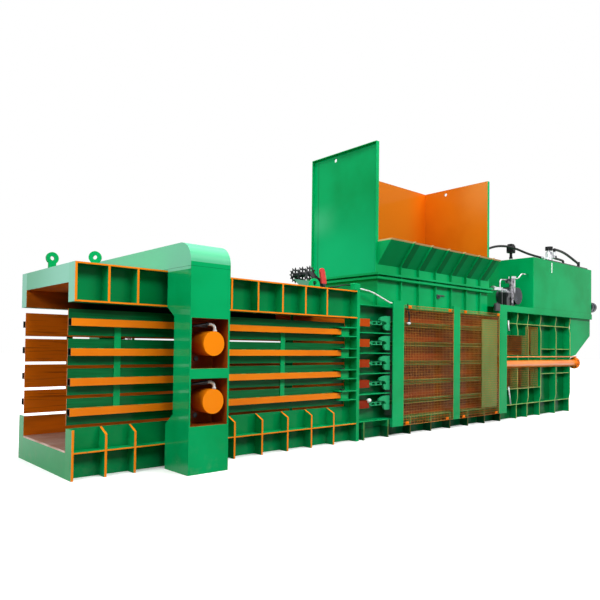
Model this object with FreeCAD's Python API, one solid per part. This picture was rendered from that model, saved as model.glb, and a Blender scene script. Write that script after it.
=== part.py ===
import FreeCAD, Part
import math
import os

# Horizontal recycling baler with side wire threading. Millimetres, +Z up. The machine is laid out
# from its exit end (x = 0) towards the oil tank, with the threading side at -Y, and is moved at
# the end so that the origin is the middle of its footprint on the floor.

V = FreeCAD.Vector

# bale chamber and base frame
BALE_W = 1080.0
BALE_H = 1400.0
BED_H = 214.0
FLOOR_T = 16.0
ROOF_T = 165.0
WALL = 135.0
SKIN_T = 16.0
FLANGE_T = 14.0
RIB_T = 20.0
CHANNEL_L = 3380.0
PORTAL_T = 50.0
PORTAL_RISE = 10.0
BODY_L = 3375.0
REAR_L = 2345.0
SILL_H = 185.0
HEAD_H = 165.0
LEDGE_T = 12.0
RIB_SLOPE = 55.0
BED_POCKETS = 5

# ribs of the bale channel: first rib, pitch and count, in front of and behind the yoke
FRONT_RIB_X = 282.0
FRONT_RIB_PITCH = 265.0
FRONT_RIBS = 2
TOP_RIB_X = 1549.0
TOP_RIB_PITCH = 330.0
TOP_RIBS = 5
LOW_RIB_X = 1607.0
LOW_RIB_PITCH = 347.0
LOW_RIBS = 5
MID_LEDGE_DROP = 10.0

# wire levels: slots between the door plates, needle rails and chains all lie at these heights
WIRES = 5
WIRE_Z = 427.5
WIRE_PITCH = 249.0
SLOT_H = 26.0

# doors that squeeze the bale
DOOR_T = 10.0
STRAP_T = 8.0
STRAP_W = 60.0
STRAP_X = (400.0, 2294.0)
TUBE = 62.0
TUBE_WALL = 5.0
HINGE_BACK = 150.0
KNUCKLE_L = 125.0
KNUCKLE_H = 91.0
KNUCKLE_D = 76.0
PIN_R = 18.0
PIN_FIT = 0.08
PIN_HEAD_R = 28.0
PIN_HEAD_H = 10.0
LUG_T = 12.0
LUG_GAP = 0.5
LUG_REACH = 265.0
CHEEK_L = 75.0
DOOR_SWING = 2.5

# tension yoke and its four press cylinders
YOKE_X = 845.0
YOKE_D = 415.0
YOKE_REACH = 397.0
YOKE_H = 2025.0
YOKE_R = 180.0
YOKE_PLATE = 15.0
LEG_REACH = 128.0
WINDOW_DEPTH = 252.0
WINDOWS = ((414.0, 829.0), (914.0, 1358.0))
PRESS_X = 1112.0
PRESS_R = 110.0
PRESS_WALL = 20.0
PRESS_ROD_R = 55.0
PRESS_SET_IN = 29.0
PRESS_END = 798.0
PISTON_T = 60.0
NOSE_R = 40.0
NOSE_GAP = 0.5
CYL_GAP = 0.5
SEAT = 0.3

# needle station, rails, posts and mesh guard
BLOCK_L = 200.0
BLOCK_H = 92.0
CHAIN_PITCH = 90.0
CHAIN_LINKS = 2
TONGUE_L = 40.0
TONGUE_H = 24.0
LINK_W = 40.0
LINK_T = 8.0
ROLLER_R = 15.0
ROLLER_H = 26.0
GUIDE_L = 205.0
GUIDE_T = 25.0
NEEDLE_SLOT = (200.0, 170.0, 30.0)
RAIL_H = 55.0
RAIL_T = 5.0
RAIL_D = 63.0
GUARD_OUT = 40.0
POST_T = 10.0
POSTS = ((575.0, 220.0), (1910.0, 160.0), (3145.0, 230.0))
POST_Z = 125.0
MESH_T = 4.0
MESH_BAR = 14.0
MESH_NX = 10
MESH_NZ = 14
MESH_DROP = 40.0
CLIP = (60.0, 50.0, 12.0)
CARRIAGE_L = 430.0
CARRIAGE_T = 12.0
CARRIAGE_Z = (240.0, 1570.0)
CARRIAGE_SET = 30.0
SHOE_GAP = 0.3
SHOE_SET = 25.0
SHOE_BACK = 2.0
CARRIAGE_OUT = 8.0
CARRIAGE_TRAVEL = 1800.0
SIDE_ROD_R = 14.0
SIDE_ROD_GAP = 1.0
SIDE_ROD_SPARE = 120.0
SIDE_LUG_L = 60.0
SIDE_R = 61.0
SIDE_WALL = 11.0
SIDE_SET = 20.0
SIDE_L = 2827.0
SIDE_FLANGE_R = 107.0
SIDE_FLANGE_T = 25.0
SIDE_GLAND_T = 40.0
SIDE_HEAD_T = 50.0
OIL_PIPE_R = 9.0
OIL_PIPE_RISE = 117.0
OIL_PIPE_GAP = 0.5
BODY_RIB_X = 80.0
BODY_RIB_PITCH = 450.0
BODY_RIBS = 8

# rear frame
REAR_RIBS = (404.0, 759.0, 1194.0, 1765.0)
REAR_FLANGE_Z = 1538.0
NOTCH = 21.0
NOTCH_RUN = 110.0
STIFFENER_Z = (707.0, 1133.0)
LOW_WINDOW = (492.0, 815.0)
HIGH_WINDOW = (1029.0, 1345.0, 1500.0)
WINDOW_MARGIN = 20.0
SCREEN_REACH = 1075.0
SCREEN_STEP = 666.0
TALL_HOLE = 900.0
SCREEN_NX = (6, 4)
SCREEN_NZ = (3, 3, 4)
HOOK_X = 1985.0
HOOK_Z = (590.0, 1340.0)
HOOK_REACH = 45.0
HOOK_DROP = 55.0
HOOK_R = 6.0

# hopper
HOP_SET = 408.0
HOP_L = 2587.0
HOP_HALF = 592.0
HOP_T = 10.0
HOP_TOP = 3730.0
RIM_Z = 1984.0
RIM_H = 80.0
RIM_LEAF = 28.0
RIM_OUT = 60.0
HOP_EDGE = 45.0
HOP_EDGE_T = 8.0
LIP_FOLD = 106.0
LIP_OUT = 229.0
LIP_RISE = 306.0
HOP_RIB_X = 422.0
HOP_RIB_PITCH = 380.0
HOP_RIBS = 6
HOP_RIB_D = 40.0
HOP_RIB_T = 14.0
LIFT_HOLE_R = 25.0
LIFT_HOLE_DROP = 75.0
LIFT_HOLE_Y = 175.0

# ram and main cylinder
RAM_BACK = 15.0
RAM_PLATE = 40.0
RAM_SIDE_GAP = 2.0
RAM_FOOT_GAP = 0.3
RAM_COVER_T = 26.0
RAM_RIB_L = 260.0
RAM_TRAVEL = 2570.0
MAIN_Z = 930.0
MAIN_R = 160.0
MAIN_WALL = 35.0
MAIN_ROD_R = 90.0
MAIN_SET = 220.0
MAIN_GLAND_T = 60.0
MAIN_HEAD_T = 40.0
MAIN_PISTON_T = 100.0
MAIN_SPARE = 30.0
MAIN_FLANGE_R = 230.0
END_PLATE_T = 16.0

# oil tank, its carrier, pump set
TANK_OVERLAP = 1477.0
TANK_L = 2332.0
TANK_H = 879.0
TANK_GAP = 20.0
TANK_STEP = 8.0
BEAM_H = 100.0
BEAM_T = 10.0
GUSSET_T = 12.0
GUSSET_FOOT = 225.0
GUSSET_Z = (1000.0, 1031.0, 1400.0)
TANK_EDGE_R = 12.0
VALVE_X = 117.0
VALVE_Y = -235.0
VALVE_STEM = ((30.0, 62.0), (24.0, 68.0))
VALVE_HALF = (62.0, 48.0)
VALVE_H = 135.0
VALVE_CAP_H = 20.0
FILTER_X = 727.0
FILTER_Y = -625.0
FILTER_STEPS = ((60.0, 150.0), (38.0, 34.0), (64.0, 63.0))
BRANCH = (32.0, 60.0, 120.0)
PORT_A_X = 457.0
PORT_A_Y = -605.0
PORT_A_RISE = 54.0
PORT_A_R = 18.0
PORT_B_X = 972.0
PORT_B_RISE = 248.0
PORT_R = 23.0
PORT_STUB = 40.0
DRAIN = ((165.0, 68.0), (325.0, 58.0))
DRAIN_R = 20.0
FOOT_R = 26.0
LID = (530.0, 1630.0, 7.0, 1000.0, 20.0)
GLASS = (642.0, 26.0, 175.0, 34.0, 8.0)
END_MOTOR = (100.0, 235.0, 102.0, 148.0)

# pump set on the deck in front of the tank
PUMP_BACK = 363.0
PUMP_RISE = 203.0
PUMP_R = 132.0
PUMP_L = 315.0
PUMP_SET = 60.0
PUMP_RIM = (7.0, 12.0, 60.0)
PUMP_GAP = 9.0
PUMP_FOOT = (95.0, 90.0, 250.0)
PUMP_BOX = (60.0, 110.0, 220.0, 150.0)
BASE_PLATE = (550.0, 150.0, 20.0, 300.0, 30.0)
BELL_R = 78.0
BELL_L = 204.0
BELL_SET = 115.0
COLUMN_BACK = 543.0
COLUMN_SET = 55.0
COLUMN_HALF = (64.0, 20.0)
COLUMN_LOW = 128.0
COLUMN_RISE = 470.0
COLUMN_FOOT_R = 19.0
INLET_R = 30.0
INLET_RISE = 285.0
INLET = (1029.0, 813.0)
BYPASS_R = 10.0
BYPASS = ((-64.0, -15.0), (-244.0, -26.0), (-275.0, -53.0))
CRANK_HUB = (60.0, 37.0)
CRANK_STEM = (14.0, 30.0)
CRANK = ((50.0, 17.0), (186.0, 21.0), (317.0, 114.0), (395.0, 116.0))
CRANK_R = 11.0
GRIP = (388.0, 521.0, 17.0)
SENSOR = (1272.0, 50.0)
SENSOR_ARM = 153.0

# bale length wheel on its swinging fork, parked above the roof
PIVOT_BACK = 270.0
PIVOT_RISE = 100.0
WHEEL_BACK = 167.0
WHEEL_LIFT = 96.0
WHEEL_Y = -175.0
WHEEL_R = 98.0
WHEEL_HALF = 135.0
WHEEL_T = 10.0
DISCS = 3
TEETH = 12
TOOTH = 24.0
DISC_HOLES = 6
DISC_HOLE_R = 14.0
DISC_HOLE_RING = 48.0
HUB_R = 30.0
AXLE_R = 14.0
SHAFT_R = 20.0
FORK_T = 12.0
FORK_GAP = 8.0
FORK_EYES = (26.0, 34.0)
TIE_BACK = 58.0
TIE_RISE = 12.0
TIE_HALF = 14.0
HUB_OUT = 6.0
SLOT_FRONT = 295.0
SLOT_BACK = 50.0
SLOT_HALF = 160.0
CHUTE_T = 8.0
CHUTE_FLARE = 155.0
CHUTE_H = 105.0
CHUTE_L = 300.0
CHUTE_TAIL = 30.0
CHEEK_GAP = 14.0
BEARING_R = 42.0
CHEEK_FOOT = 60.0
CHEEK_FOOT_T = 10.0
SHAFT_END = 2.0
LEVER_GAP = 4.0
LEVER_T = 24.0
LEVER_R = 38.0
LEVER_LEAN = 31.0
LEVER_H = 132.0

# lifting lug on the near top side, and the terminal box beside the portal
LUG_X = 2732.0
LUG_Y = 620.0
ARCH_R = 80.0
ARCH_RISE = 18.0
ARCH_HOLE_R = 28.0
ARCH_HOLE_RISE = 43.0
ARCH_T = 20.0
BOX_BACK = 48.0
BOX_L = 117.0
BOX_H = 82.0
BOX_D = 60.0
BOX_R = 14.0
BOX_IN = 15.0
CONDUIT_R = 9.0
CONDUIT = (202.0, -15.0, 10.0)
CONDUIT_END = 30.0

# lifting eyes: (x, y, turn about Z)
EYES = ((345.0, -243.0, -38.0), (85.0, 107.0, 0.0))
EYE_R = 56.0
EYE_HOLE = 20.0
EYE_T = 25.0
EYE_RISE = 110.0

# middle lines of the hoses, as points from the tank's front top edge (y from the centre plane), and
# of the guard's cable, from the portal, the guard's face and the underside of the roof
HOSE_R = 19.0
HOSE_START = (-1113.0, -345.0)
HOSE_A = [(-1113.0, -345.0, -614.0), (-1107.0, -346.0, -354.0),
          (-1069.0, -347.0, -134.0), (-953.0, -350.0, 26.0), (-773.0, -358.0, 104.0),
          (-548.0, -375.0, 158.0), (-324.0, -405.0, 176.0), (-138.0, -430.0, 166.0),
          (20.0, -458.0, 140.0), (162.0, -500.0, 104.0), (297.0, -560.0, 72.0),
          (387.0, -605.0, 54.0), (457.0, -605.0, 54.0)]
HOSE_B = [(972.0, -625.0, 248.0), (1087.0, -625.0, 248.0), (1217.0, -626.0, 240.0),
          (1374.0, -628.0, 220.0), (1560.0, -630.0, 179.0), (1724.0, -633.0, 136.0),
          (1884.0, -635.0, 96.0)]
CABLE_R = 7.0
CABLE = [(838.0, -21.0, 60.0), (838.0, -21.0, 10.0), (850.0, -21.0, -40.0),
         (870.0, -21.0, -90.0), (870.0, -21.0, -140.0)]

# derived levels and planes
FLOOR_Z = BED_H + FLOOR_T
ROOF_Z = FLOOR_Z + BALE_H
FRAME_H = ROOF_Z + ROOF_T
SILL_Z = FLOOR_Z + SILL_H
HEAD_Z = ROOF_Z - HEAD_H
IN_Y = BALE_W / 2
SKIN_Y = IN_Y + SKIN_T
OUT_Y = IN_Y + WALL
GUARD_Y = OUT_Y + GUARD_OUT
BODY_X = CHANNEL_L + PORTAL_T
REAR_X = BODY_X + BODY_L
BASE_L = REAR_X + REAR_L
LEVELS = [WIRE_Z + WIRE_PITCH * i for i in range(WIRES)]
TUBE_LEVELS = [z + WIRE_PITCH / 2 for z in LEVELS[:-1]]
STRAP_Y = IN_Y + DOOR_T
TUBE_IN = STRAP_Y + STRAP_T
TUBE_OUT = TUBE_IN + TUBE
HINGE_X = CHANNEL_L - HINGE_BACK
KNUCKLE_X = HINGE_X - KNUCKLE_L / 2
PIN_Y = TUBE_IN + TUBE / 2
YOKE_OUT = OUT_Y + YOKE_REACH
LEG_IN = OUT_Y + LEG_REACH
PRESS_LEVELS = [(low + high) / 2 for low, high in WINDOWS]
PRESS_TRAVEL = (HINGE_X - PRESS_X) * math.radians(DOOR_SWING)
RAIL_Y = (OUT_Y + OUT_Y - RAIL_D) / 2
HOP_X = BODY_X + HOP_SET
HOP_Z = RIM_Z + RIM_H
RAM_X = HOP_X + HOP_L + RAM_BACK
MAIN_X = RAM_X + RAM_PLATE + MAIN_SET
MAIN_END = MAIN_X + MAIN_GLAND_T + RAM_TRAVEL + MAIN_PISTON_T + MAIN_SPARE
TANK_X = BASE_L - TANK_OVERLAP
TANK_Z = FRAME_H + TANK_GAP
TANK_TOP = FRAME_H + TANK_H
TANK_FACE = GUARD_Y - TANK_STEP
OVERALL_L = TANK_X + TANK_L + END_MOTOR[1]
VALVE = (TANK_X + VALVE_X, VALVE_Y)
FILTER = (TANK_X + FILTER_X, FILTER_Y)
PORT_A_Z = TANK_TOP + PORT_A_RISE
PORT_Z = TANK_TOP + PORT_B_RISE
PUMP_X = TANK_X - PUMP_BACK
PUMP_Z = FRAME_H + PUMP_RISE
COLUMN = (TANK_X - COLUMN_BACK, -OUT_Y + COLUMN_SET)
COLUMN_TOP = FRAME_H + COLUMN_RISE
PIVOT_X = CHANNEL_L - PIVOT_BACK
PIVOT_Z = FRAME_H + PIVOT_RISE
SLOT = (PIVOT_X - SLOT_FRONT, PIVOT_X + SLOT_BACK, SLOT_HALF)
BOX_X = (CHANNEL_L - BOX_BACK, CHANNEL_L - BOX_BACK + BOX_L)


def block(x0, x1, y0, y1, z0, z1):
    """Box between two corners."""
    return Part.makeBox(x1 - x0, y1 - y0, z1 - z0, V(x0, y0, z0))


def slab(points, along, start, depth):
    """Prism on a closed outline. along is the axis that it is drawn out on, and the outline's
    two values are the other two axes in X, Y, Z order."""
    at = {"x": lambda a, b: V(start, a, b), "y": lambda a, b: V(a, start, b),
          "z": lambda a, b: V(a, b, start)}[along]
    out = {"x": V(depth, 0, 0), "y": V(0, depth, 0), "z": V(0, 0, depth)}[along]
    corners = [at(a, b) for a, b in points]
    return Part.Face(Part.makePolygon(corners + corners[:1])).extrude(out)


def rod(along, start, end, a, b, radius):
    """Round bar along an axis; a and b are its place on the other two axes."""
    base = {"x": V(start, a, b), "y": V(a, start, b), "z": V(a, b, start)}[along]
    way = {"x": V(1, 0, 0), "y": V(0, 1, 0), "z": V(0, 0, 1)}[along]
    return Part.makeCylinder(radius, end - start, base, way)


def join(shapes):
    """One solid out of touching shapes."""
    whole = shapes[0].multiFuse(shapes[1:]) if len(shapes) > 1 else shapes[0]
    return whole.removeSplitter()


def group(shapes):
    """Separate solids that share one node."""
    return Part.makeCompound(shapes)


def mirrored(shape):
    """The same piece on the other side of the machine."""
    return shape.mirror(V(0, 0, 0), V(0, 1, 0))


def steps(first, pitch, count):
    """Places at a steady pitch."""
    return [first + pitch * i for i in range(count)]


def bent_tube(points, radius, name):
    """Tube along straight runs joined by tangent arcs, each as large as its runs allow."""
    spots = [V(*p) for p in points]
    edges = []
    last = spots[0]
    tightest = None
    for before, corner, after in zip(spots, spots[1:], spots[2:]):
        back = (before - corner).normalize()
        ahead = (after - corner).normalize()
        turn = math.pi - back.getAngle(ahead)
        reach = 0.45 * min((before - corner).Length, (after - corner).Length)
        bend = reach / math.tan(turn / 2)
        tightest = bend if tightest is None else min(tightest, bend)
        first = corner + back * reach
        final = corner + ahead * reach
        middle = (back + ahead).normalize()
        centre_gap = bend / math.cos(turn / 2) - bend
        edges.append(Part.LineSegment(last, first).toShape())
        edges.append(Part.Arc(first, corner + middle * centre_gap, final).toShape())
        last = final
    edges.append(Part.LineSegment(last, spots[-1]).toShape())
    path = Part.Wire(edges)
    ring = Part.Wire([Part.Circle(spots[0], spots[1] - spots[0], radius).toShape()])
    tube = path.makePipeShell([ring], True, True)
    smooth = tube.Volume / (math.pi * radius * radius * path.Length)
    print(name, "length", round(path.Length), "least radius", round(tightest or 0),
          "volume share", round(smooth, 4))
    return tube


# ---- base, floor and roof ----

def bed_part(x0, x1):
    """Bed box, open below between its cross beams."""
    shape = block(x0, x1, -IN_Y, IN_Y, 0, BED_H)
    pitch = (x1 - x0 - RIB_T) / BED_POCKETS
    for x in steps(x0 + RIB_T, pitch, BED_POCKETS):
        shape = shape.cut(block(x, x + pitch - RIB_T, -IN_Y + RIB_T, -RIB_T, -1, BED_H - SKIN_T))
        shape = shape.cut(block(x, x + pitch - RIB_T, RIB_T, IN_Y - RIB_T, -1, BED_H - SKIN_T))
    return shape


def make_bed():
    return group([bed_part(0, CHANNEL_L), bed_part(BODY_X, BASE_L)])


def make_floor():
    return block(0, BASE_L - END_PLATE_T, -IN_Y, IN_Y, BED_H, FLOOR_Z)


def make_channel_roof():
    """Roof with the slot that the length wheel drops through, and the plate that stands beside it."""
    roof = block(0, CHANNEL_L, -IN_Y, IN_Y, ROOF_Z, FRAME_H)
    x0, x1, half = SLOT
    roof = roof.cut(block(x0, x1, WHEEL_Y - half, WHEEL_Y + half, ROOF_Z - 1, FRAME_H + 1))
    lip = x0 - CHUTE_FLARE
    crest = FRAME_H + CHUTE_H
    wall = [(x0 - CHUTE_T, FRAME_H), (lip, crest), (lip + CHUTE_L, crest),
            (lip + CHUTE_L + CHUTE_TAIL, FRAME_H)]
    return join([roof, slab(wall, "y", WHEEL_Y - half - CHUTE_T, CHUTE_T)])


def make_body_roof():
    front = block(BODY_X, HOP_X, -IN_Y, IN_Y, ROOF_Z, FRAME_H)
    deck = block(HOP_X + HOP_L, BASE_L - END_PLATE_T, -IN_Y, IN_Y, ROOF_Z, FRAME_H)
    return group([front, deck])


def low_rib(x, thick=RIB_T):
    """Rib of the lower side with its sloping top."""
    outline = [(-SKIN_Y, 0), (-OUT_Y, 0), (-OUT_Y, SILL_Z - RIB_SLOPE), (-SKIN_Y, SILL_Z)]
    return slab(outline, "x", x, thick)


def make_base_side():
    """Lower side of the bale channel: skin, ledge and sloping ribs."""
    pieces = [block(0, CHANNEL_L, -SKIN_Y, -IN_Y, 0, SILL_Z)]
    pieces.append(block(0, RIB_T, -OUT_Y, -SKIN_Y, 0, SILL_Z))
    pieces.append(block(RIB_T, YOKE_X + YOKE_D, -OUT_Y, -SKIN_Y, FLOOR_Z - LEDGE_T, FLOOR_Z))
    low = FLOOR_Z - MID_LEDGE_DROP
    pieces.append(block(YOKE_X + YOKE_D, CHANNEL_L, -OUT_Y, -SKIN_Y, low - LEDGE_T, low))
    places = steps(FRONT_RIB_X, FRONT_RIB_PITCH, FRONT_RIBS) + steps(LOW_RIB_X, LOW_RIB_PITCH, LOW_RIBS)
    pieces += [low_rib(x) for x in places]
    return join(pieces)


def make_top_side():
    """Upper side of the bale channel: skin between two flanges, with upright ribs."""
    pieces = [block(0, CHANNEL_L, -SKIN_Y, -IN_Y, HEAD_Z, FRAME_H)]
    pieces.append(block(0, CHANNEL_L, -OUT_Y, -SKIN_Y, HEAD_Z, HEAD_Z + FLANGE_T))
    pieces.append(block(0, CHANNEL_L, -OUT_Y, -SKIN_Y, FRAME_H - FLANGE_T, FRAME_H))
    places = [0.0] + steps(FRONT_RIB_X, FRONT_RIB_PITCH, FRONT_RIBS)
    places += steps(TOP_RIB_X, TOP_RIB_PITCH, TOP_RIBS)
    for x in places:
        pieces.append(block(x, x + RIB_T, -OUT_Y, -SKIN_Y, HEAD_Z, FRAME_H))
    return join(pieces)


def make_near_top_side():
    """The near top side also carries an arched lifting lug."""
    x, y = LUG_X, -LUG_Y
    middle = FRAME_H + ARCH_RISE
    arch = rod("y", y, y + ARCH_T, x, middle, ARCH_R)
    arch = arch.cut(block(x - ARCH_R, x + ARCH_R, y - 1, y + ARCH_T + 1, middle - ARCH_R, middle))
    arch = join([arch, block(x - ARCH_R, x + ARCH_R, y, y + ARCH_T, FRAME_H, middle)])
    arch = arch.cut(rod("y", y - 1, y + ARCH_T + 1, x, FRAME_H + ARCH_HOLE_RISE, ARCH_HOLE_R))
    return join([make_top_side(), arch])


def make_portal():
    """Bolted ring between the bale channel and the press body."""
    ring = block(CHANNEL_L, BODY_X, -OUT_Y, OUT_Y, 0, FRAME_H + PORTAL_RISE)
    return ring.cut(block(CHANNEL_L - 1, BODY_X + 1, -IN_Y, IN_Y, BED_H, ROOF_Z))


def make_eyes():
    eyes = []
    for x, y, turn in EYES:
        top = FRAME_H + EYE_RISE
        ring = rod("y", y - EYE_T / 2, y + EYE_T / 2, x, top, EYE_R)
        stem = block(x - EYE_R * 0.6, x + EYE_R * 0.6, y - EYE_T / 2, y + EYE_T / 2, FRAME_H, top)
        eye = join([ring, stem]).cut(rod("y", y - EYE_T, y + EYE_T, x, top, EYE_HOLE))
        eye.rotate(V(x, y, 0), V(0, 0, 1), turn)
        eyes.append(eye)
    return group(eyes)


# ---- tension yoke, press cylinders and doors ----

def make_yoke():
    """Welded bridge over the channel, with cylinder windows in both legs."""
    corner = YOKE_R * (1 - math.sqrt(0.5))
    left = [V(YOKE_X, -YOKE_OUT, 0), V(YOKE_X, -YOKE_OUT, YOKE_H - YOKE_R),
            V(YOKE_X, -YOKE_OUT + corner, YOKE_H - corner), V(YOKE_X, -YOKE_OUT + YOKE_R, YOKE_H)]
    right = [V(p.x, -p.y, p.z) for p in reversed(left)]
    chamfer = LEG_REACH * 0.7
    inner = [(OUT_Y, 0), (OUT_Y, SILL_Z - LEDGE_T), (LEG_IN, SILL_Z + chamfer), (LEG_IN, HEAD_Z - chamfer),
             (OUT_Y, HEAD_Z), (OUT_Y, FRAME_H)]
    inner += [(-y, z) for y, z in reversed(inner)]
    inside = [V(YOKE_X, y, z) for y, z in inner]
    edges = [Part.LineSegment(left[0], left[1]).toShape(),
             Part.Arc(left[1], left[2], left[3]).toShape(),
             Part.LineSegment(left[3], right[0]).toShape(),
             Part.Arc(right[0], right[1], right[2]).toShape(),
             Part.LineSegment(right[2], right[3]).toShape()]
    run = [right[3]] + inside + [left[0]]
    edges += [Part.LineSegment(a, b).toShape() for a, b in zip(run, run[1:])]
    shape = Part.Face(Part.Wire(edges)).extrude(V(YOKE_D, 0, 0))
    for low, high in WINDOWS:
        pocket = block(YOKE_X + YOKE_PLATE, YOKE_X + YOKE_D - YOKE_PLATE,
                       -YOKE_OUT - 1, -YOKE_OUT + WINDOW_DEPTH, low, high)
        bore = rod("y", -YOKE_OUT, -LEG_IN + 1, PRESS_X, (low + high) / 2, PRESS_R + CYL_GAP)
        for tool in (pocket, bore):
            shape = shape.cut(tool).cut(mirrored(tool))
    return shape


def make_press_barrels():
    barrels = []
    start = -YOKE_OUT + PRESS_SET_IN
    for z in PRESS_LEVELS:
        barrel = rod("y", start, -PRESS_END, PRESS_X, z, PRESS_R)
        barrel = barrel.cut(rod("y", start + PRESS_WALL, -PRESS_END - PRESS_WALL, PRESS_X, z,
                                PRESS_R - PRESS_WALL))
        barrel = barrel.cut(rod("y", start + PRESS_WALL, -PRESS_END + 1, PRESS_X, z,
                                PRESS_ROD_R + CYL_GAP))
        barrels += [barrel, mirrored(barrel)]
    return group(barrels)


def make_press_rods():
    """Two rods with pistons and the round nose bar that they push the door with."""
    nose_y = -TUBE_OUT - NOSE_GAP - NOSE_R
    low = TUBE_LEVELS[0] - TUBE / 2
    high = TUBE_LEVELS[-1] + TUBE / 2
    pieces = [rod("z", low, high, PRESS_X, nose_y, NOSE_R)]
    piston = -YOKE_OUT + PRESS_SET_IN + PRESS_WALL + 20.0
    for z in PRESS_LEVELS:
        pieces.append(rod("y", piston, nose_y, PRESS_X, z, PRESS_ROD_R * 0.7))
        pieces.append(rod("y", piston, nose_y - NOSE_R - 5.0, PRESS_X, z, PRESS_ROD_R))
        pieces.append(rod("y", piston, piston + PISTON_T, PRESS_X, z, PRESS_R - PRESS_WALL - CYL_GAP))
    return join(pieces)


def make_press_elbows():
    """Oil elbow on top of each barrel that bends back into the leg."""
    elbows = []
    y = -YOKE_OUT + PRESS_SET_IN + 45.0
    for z in PRESS_LEVELS:
        top = z + PRESS_R
        nut = rod("z", top - 2.0, top + 16.0, PRESS_X + 20.0, y, 19.0)
        route = [(PRESS_X + 20.0, y, top + 10.0), (PRESS_X + 20.0, y, top + 62.0),
                 (PRESS_X + 20.0, -YOKE_OUT + WINDOW_DEPTH, top + 62.0)]
        pipe = bent_tube(route, 11.0, "press elbow")
        elbow = join([nut, pipe]).cut(rod("y", y - 60.0, -PRESS_END, PRESS_X, z, PRESS_R + SEAT))
        elbows += [elbow, mirrored(elbow)]
    return group(elbows)


def make_door_panels():
    """Four long plates, two straps that hold them together and four hinge knuckles."""
    pieces = []
    end = KNUCKLE_X + KNUCKLE_L
    for low, high in zip(LEVELS, LEVELS[1:]):
        pieces.append(block(0, end, -STRAP_Y, -IN_Y, low + SLOT_H / 2, high - SLOT_H / 2))
    bottom = TUBE_LEVELS[0] - TUBE / 2
    top = TUBE_LEVELS[-1] + TUBE / 2
    for x in STRAP_X:
        pieces.append(block(x, x + STRAP_W, -TUBE_IN, -STRAP_Y, bottom, top))
    for z in TUBE_LEVELS:
        pieces.append(block(KNUCKLE_X, end, -STRAP_Y - KNUCKLE_D, -STRAP_Y,
                            z - KNUCKLE_H / 2, z + KNUCKLE_H / 2))
    door = join(pieces)
    for z in TUBE_LEVELS:
        door = door.cut(rod("z", z - KNUCKLE_H, z + KNUCKLE_H, HINGE_X, -PIN_Y, PIN_R + PIN_FIT))
    return door


def make_door_tubes():
    tubes = []
    for z in TUBE_LEVELS:
        tube = block(0, KNUCKLE_X, -TUBE_OUT, -TUBE_IN, z - TUBE / 2, z + TUBE / 2)
        hollow = block(-1, KNUCKLE_X - TUBE_WALL, -TUBE_OUT + TUBE_WALL, -TUBE_IN - TUBE_WALL,
                       z - TUBE / 2 + TUBE_WALL, z + TUBE / 2 - TUBE_WALL)
        tubes.append(tube.cut(hollow))
    return group(tubes)


def make_hinge_lugs():
    """Cheek on the portal with a pair of lugs above and below every knuckle."""
    cheek_x = CHANNEL_L - CHEEK_L
    pieces = [block(cheek_x, CHANNEL_L, -SKIN_Y, -IN_Y, SILL_Z, HEAD_Z)]
    tip = CHANNEL_L - LUG_REACH
    inner = -STRAP_Y - 6.0
    outline = [(cheek_x, inner), (tip, inner), (tip, -OUT_Y + 30.0), (tip + 30.0, -OUT_Y),
               (CHANNEL_L, -OUT_Y), (CHANNEL_L, -IN_Y - 2.0), (cheek_x, -IN_Y - 2.0)]
    for z in TUBE_LEVELS:
        for low in (z + KNUCKLE_H / 2 + LUG_GAP, z - KNUCKLE_H / 2 - LUG_GAP - LUG_T):
            lug = slab(outline, "z", low, LUG_T)
            pieces.append(lug.cut(rod("z", low - 1, low + LUG_T + 1, HINGE_X, -PIN_Y, PIN_R + PIN_FIT)))
    lugs = join(pieces)
    return group([lugs, mirrored(lugs)])


def make_hinge_pins():
    pins = []
    reach = KNUCKLE_H / 2 + LUG_GAP + LUG_T
    for z in TUBE_LEVELS:
        pin = rod("z", z - reach - PIN_HEAD_H, z + reach, HINGE_X, -PIN_Y, PIN_R)
        head = rod("z", z + reach, z + reach + PIN_HEAD_H, HINGE_X, -PIN_Y, PIN_HEAD_R)
        pins += [join([pin, head]), mirrored(join([pin, head]))]
    return group(pins)


# ---- needle station, rails and guard ----

def make_body_side():
    """Threading side of the press body: skin with needle slots, ribbed band under the neck, sill."""
    x0, x1 = BODY_X, REAR_X
    shelf_end = x0 + POSTS[0][0]
    pieces = [block(x0, x1, -SKIN_Y, -IN_Y, 0, FRAME_H)]
    neck_end = HOP_X + HOP_L
    pieces.append(block(HOP_X, neck_end, -HOP_HALF, -SKIN_Y, ROOF_Z, FRAME_H))
    for x in steps(HOP_X + HOP_RIB_X, HOP_RIB_PITCH, HOP_RIBS):
        pieces.append(block(x, x + HOP_RIB_T, -HOP_HALF - HOP_RIB_D, -HOP_HALF, ROOF_Z, FRAME_H))
    pieces.append(block(neck_end, x1, -OUT_Y, -SKIN_Y, FRAME_H - FLANGE_T, FRAME_H))
    pieces.append(block(x0, x1, -OUT_Y, -SKIN_Y, ROOF_Z, ROOF_Z + LEDGE_T))
    pieces.append(block(x0, x1, -OUT_Y, -SKIN_Y, FLOOR_Z - LEDGE_T, FLOOR_Z))
    for x in steps(x0 + BODY_RIB_X, BODY_RIB_PITCH, BODY_RIBS):
        pieces.append(block(x, x + RIB_T, -OUT_Y, -SKIN_Y, 0, FLOOR_Z - LEDGE_T))
        if x > neck_end:
            pieces.append(block(x, x + RIB_T, -OUT_Y, -SKIN_Y, ROOF_Z + LEDGE_T, FRAME_H - FLANGE_T))
    for z in TUBE_LEVELS:
        pieces.append(block(x0, shelf_end, -OUT_Y, -SKIN_Y, z - LEDGE_T / 2, z + LEDGE_T / 2))
    side = join(pieces)
    for z in LEVELS:
        start = x0 + NEEDLE_SLOT[0]
        side = side.cut(block(start, start + NEEDLE_SLOT[1], -SKIN_Y - 1, -IN_Y + 1,
                              z - NEEDLE_SLOT[2] / 2, z + NEEDLE_SLOT[2] / 2))
    return side


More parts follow.
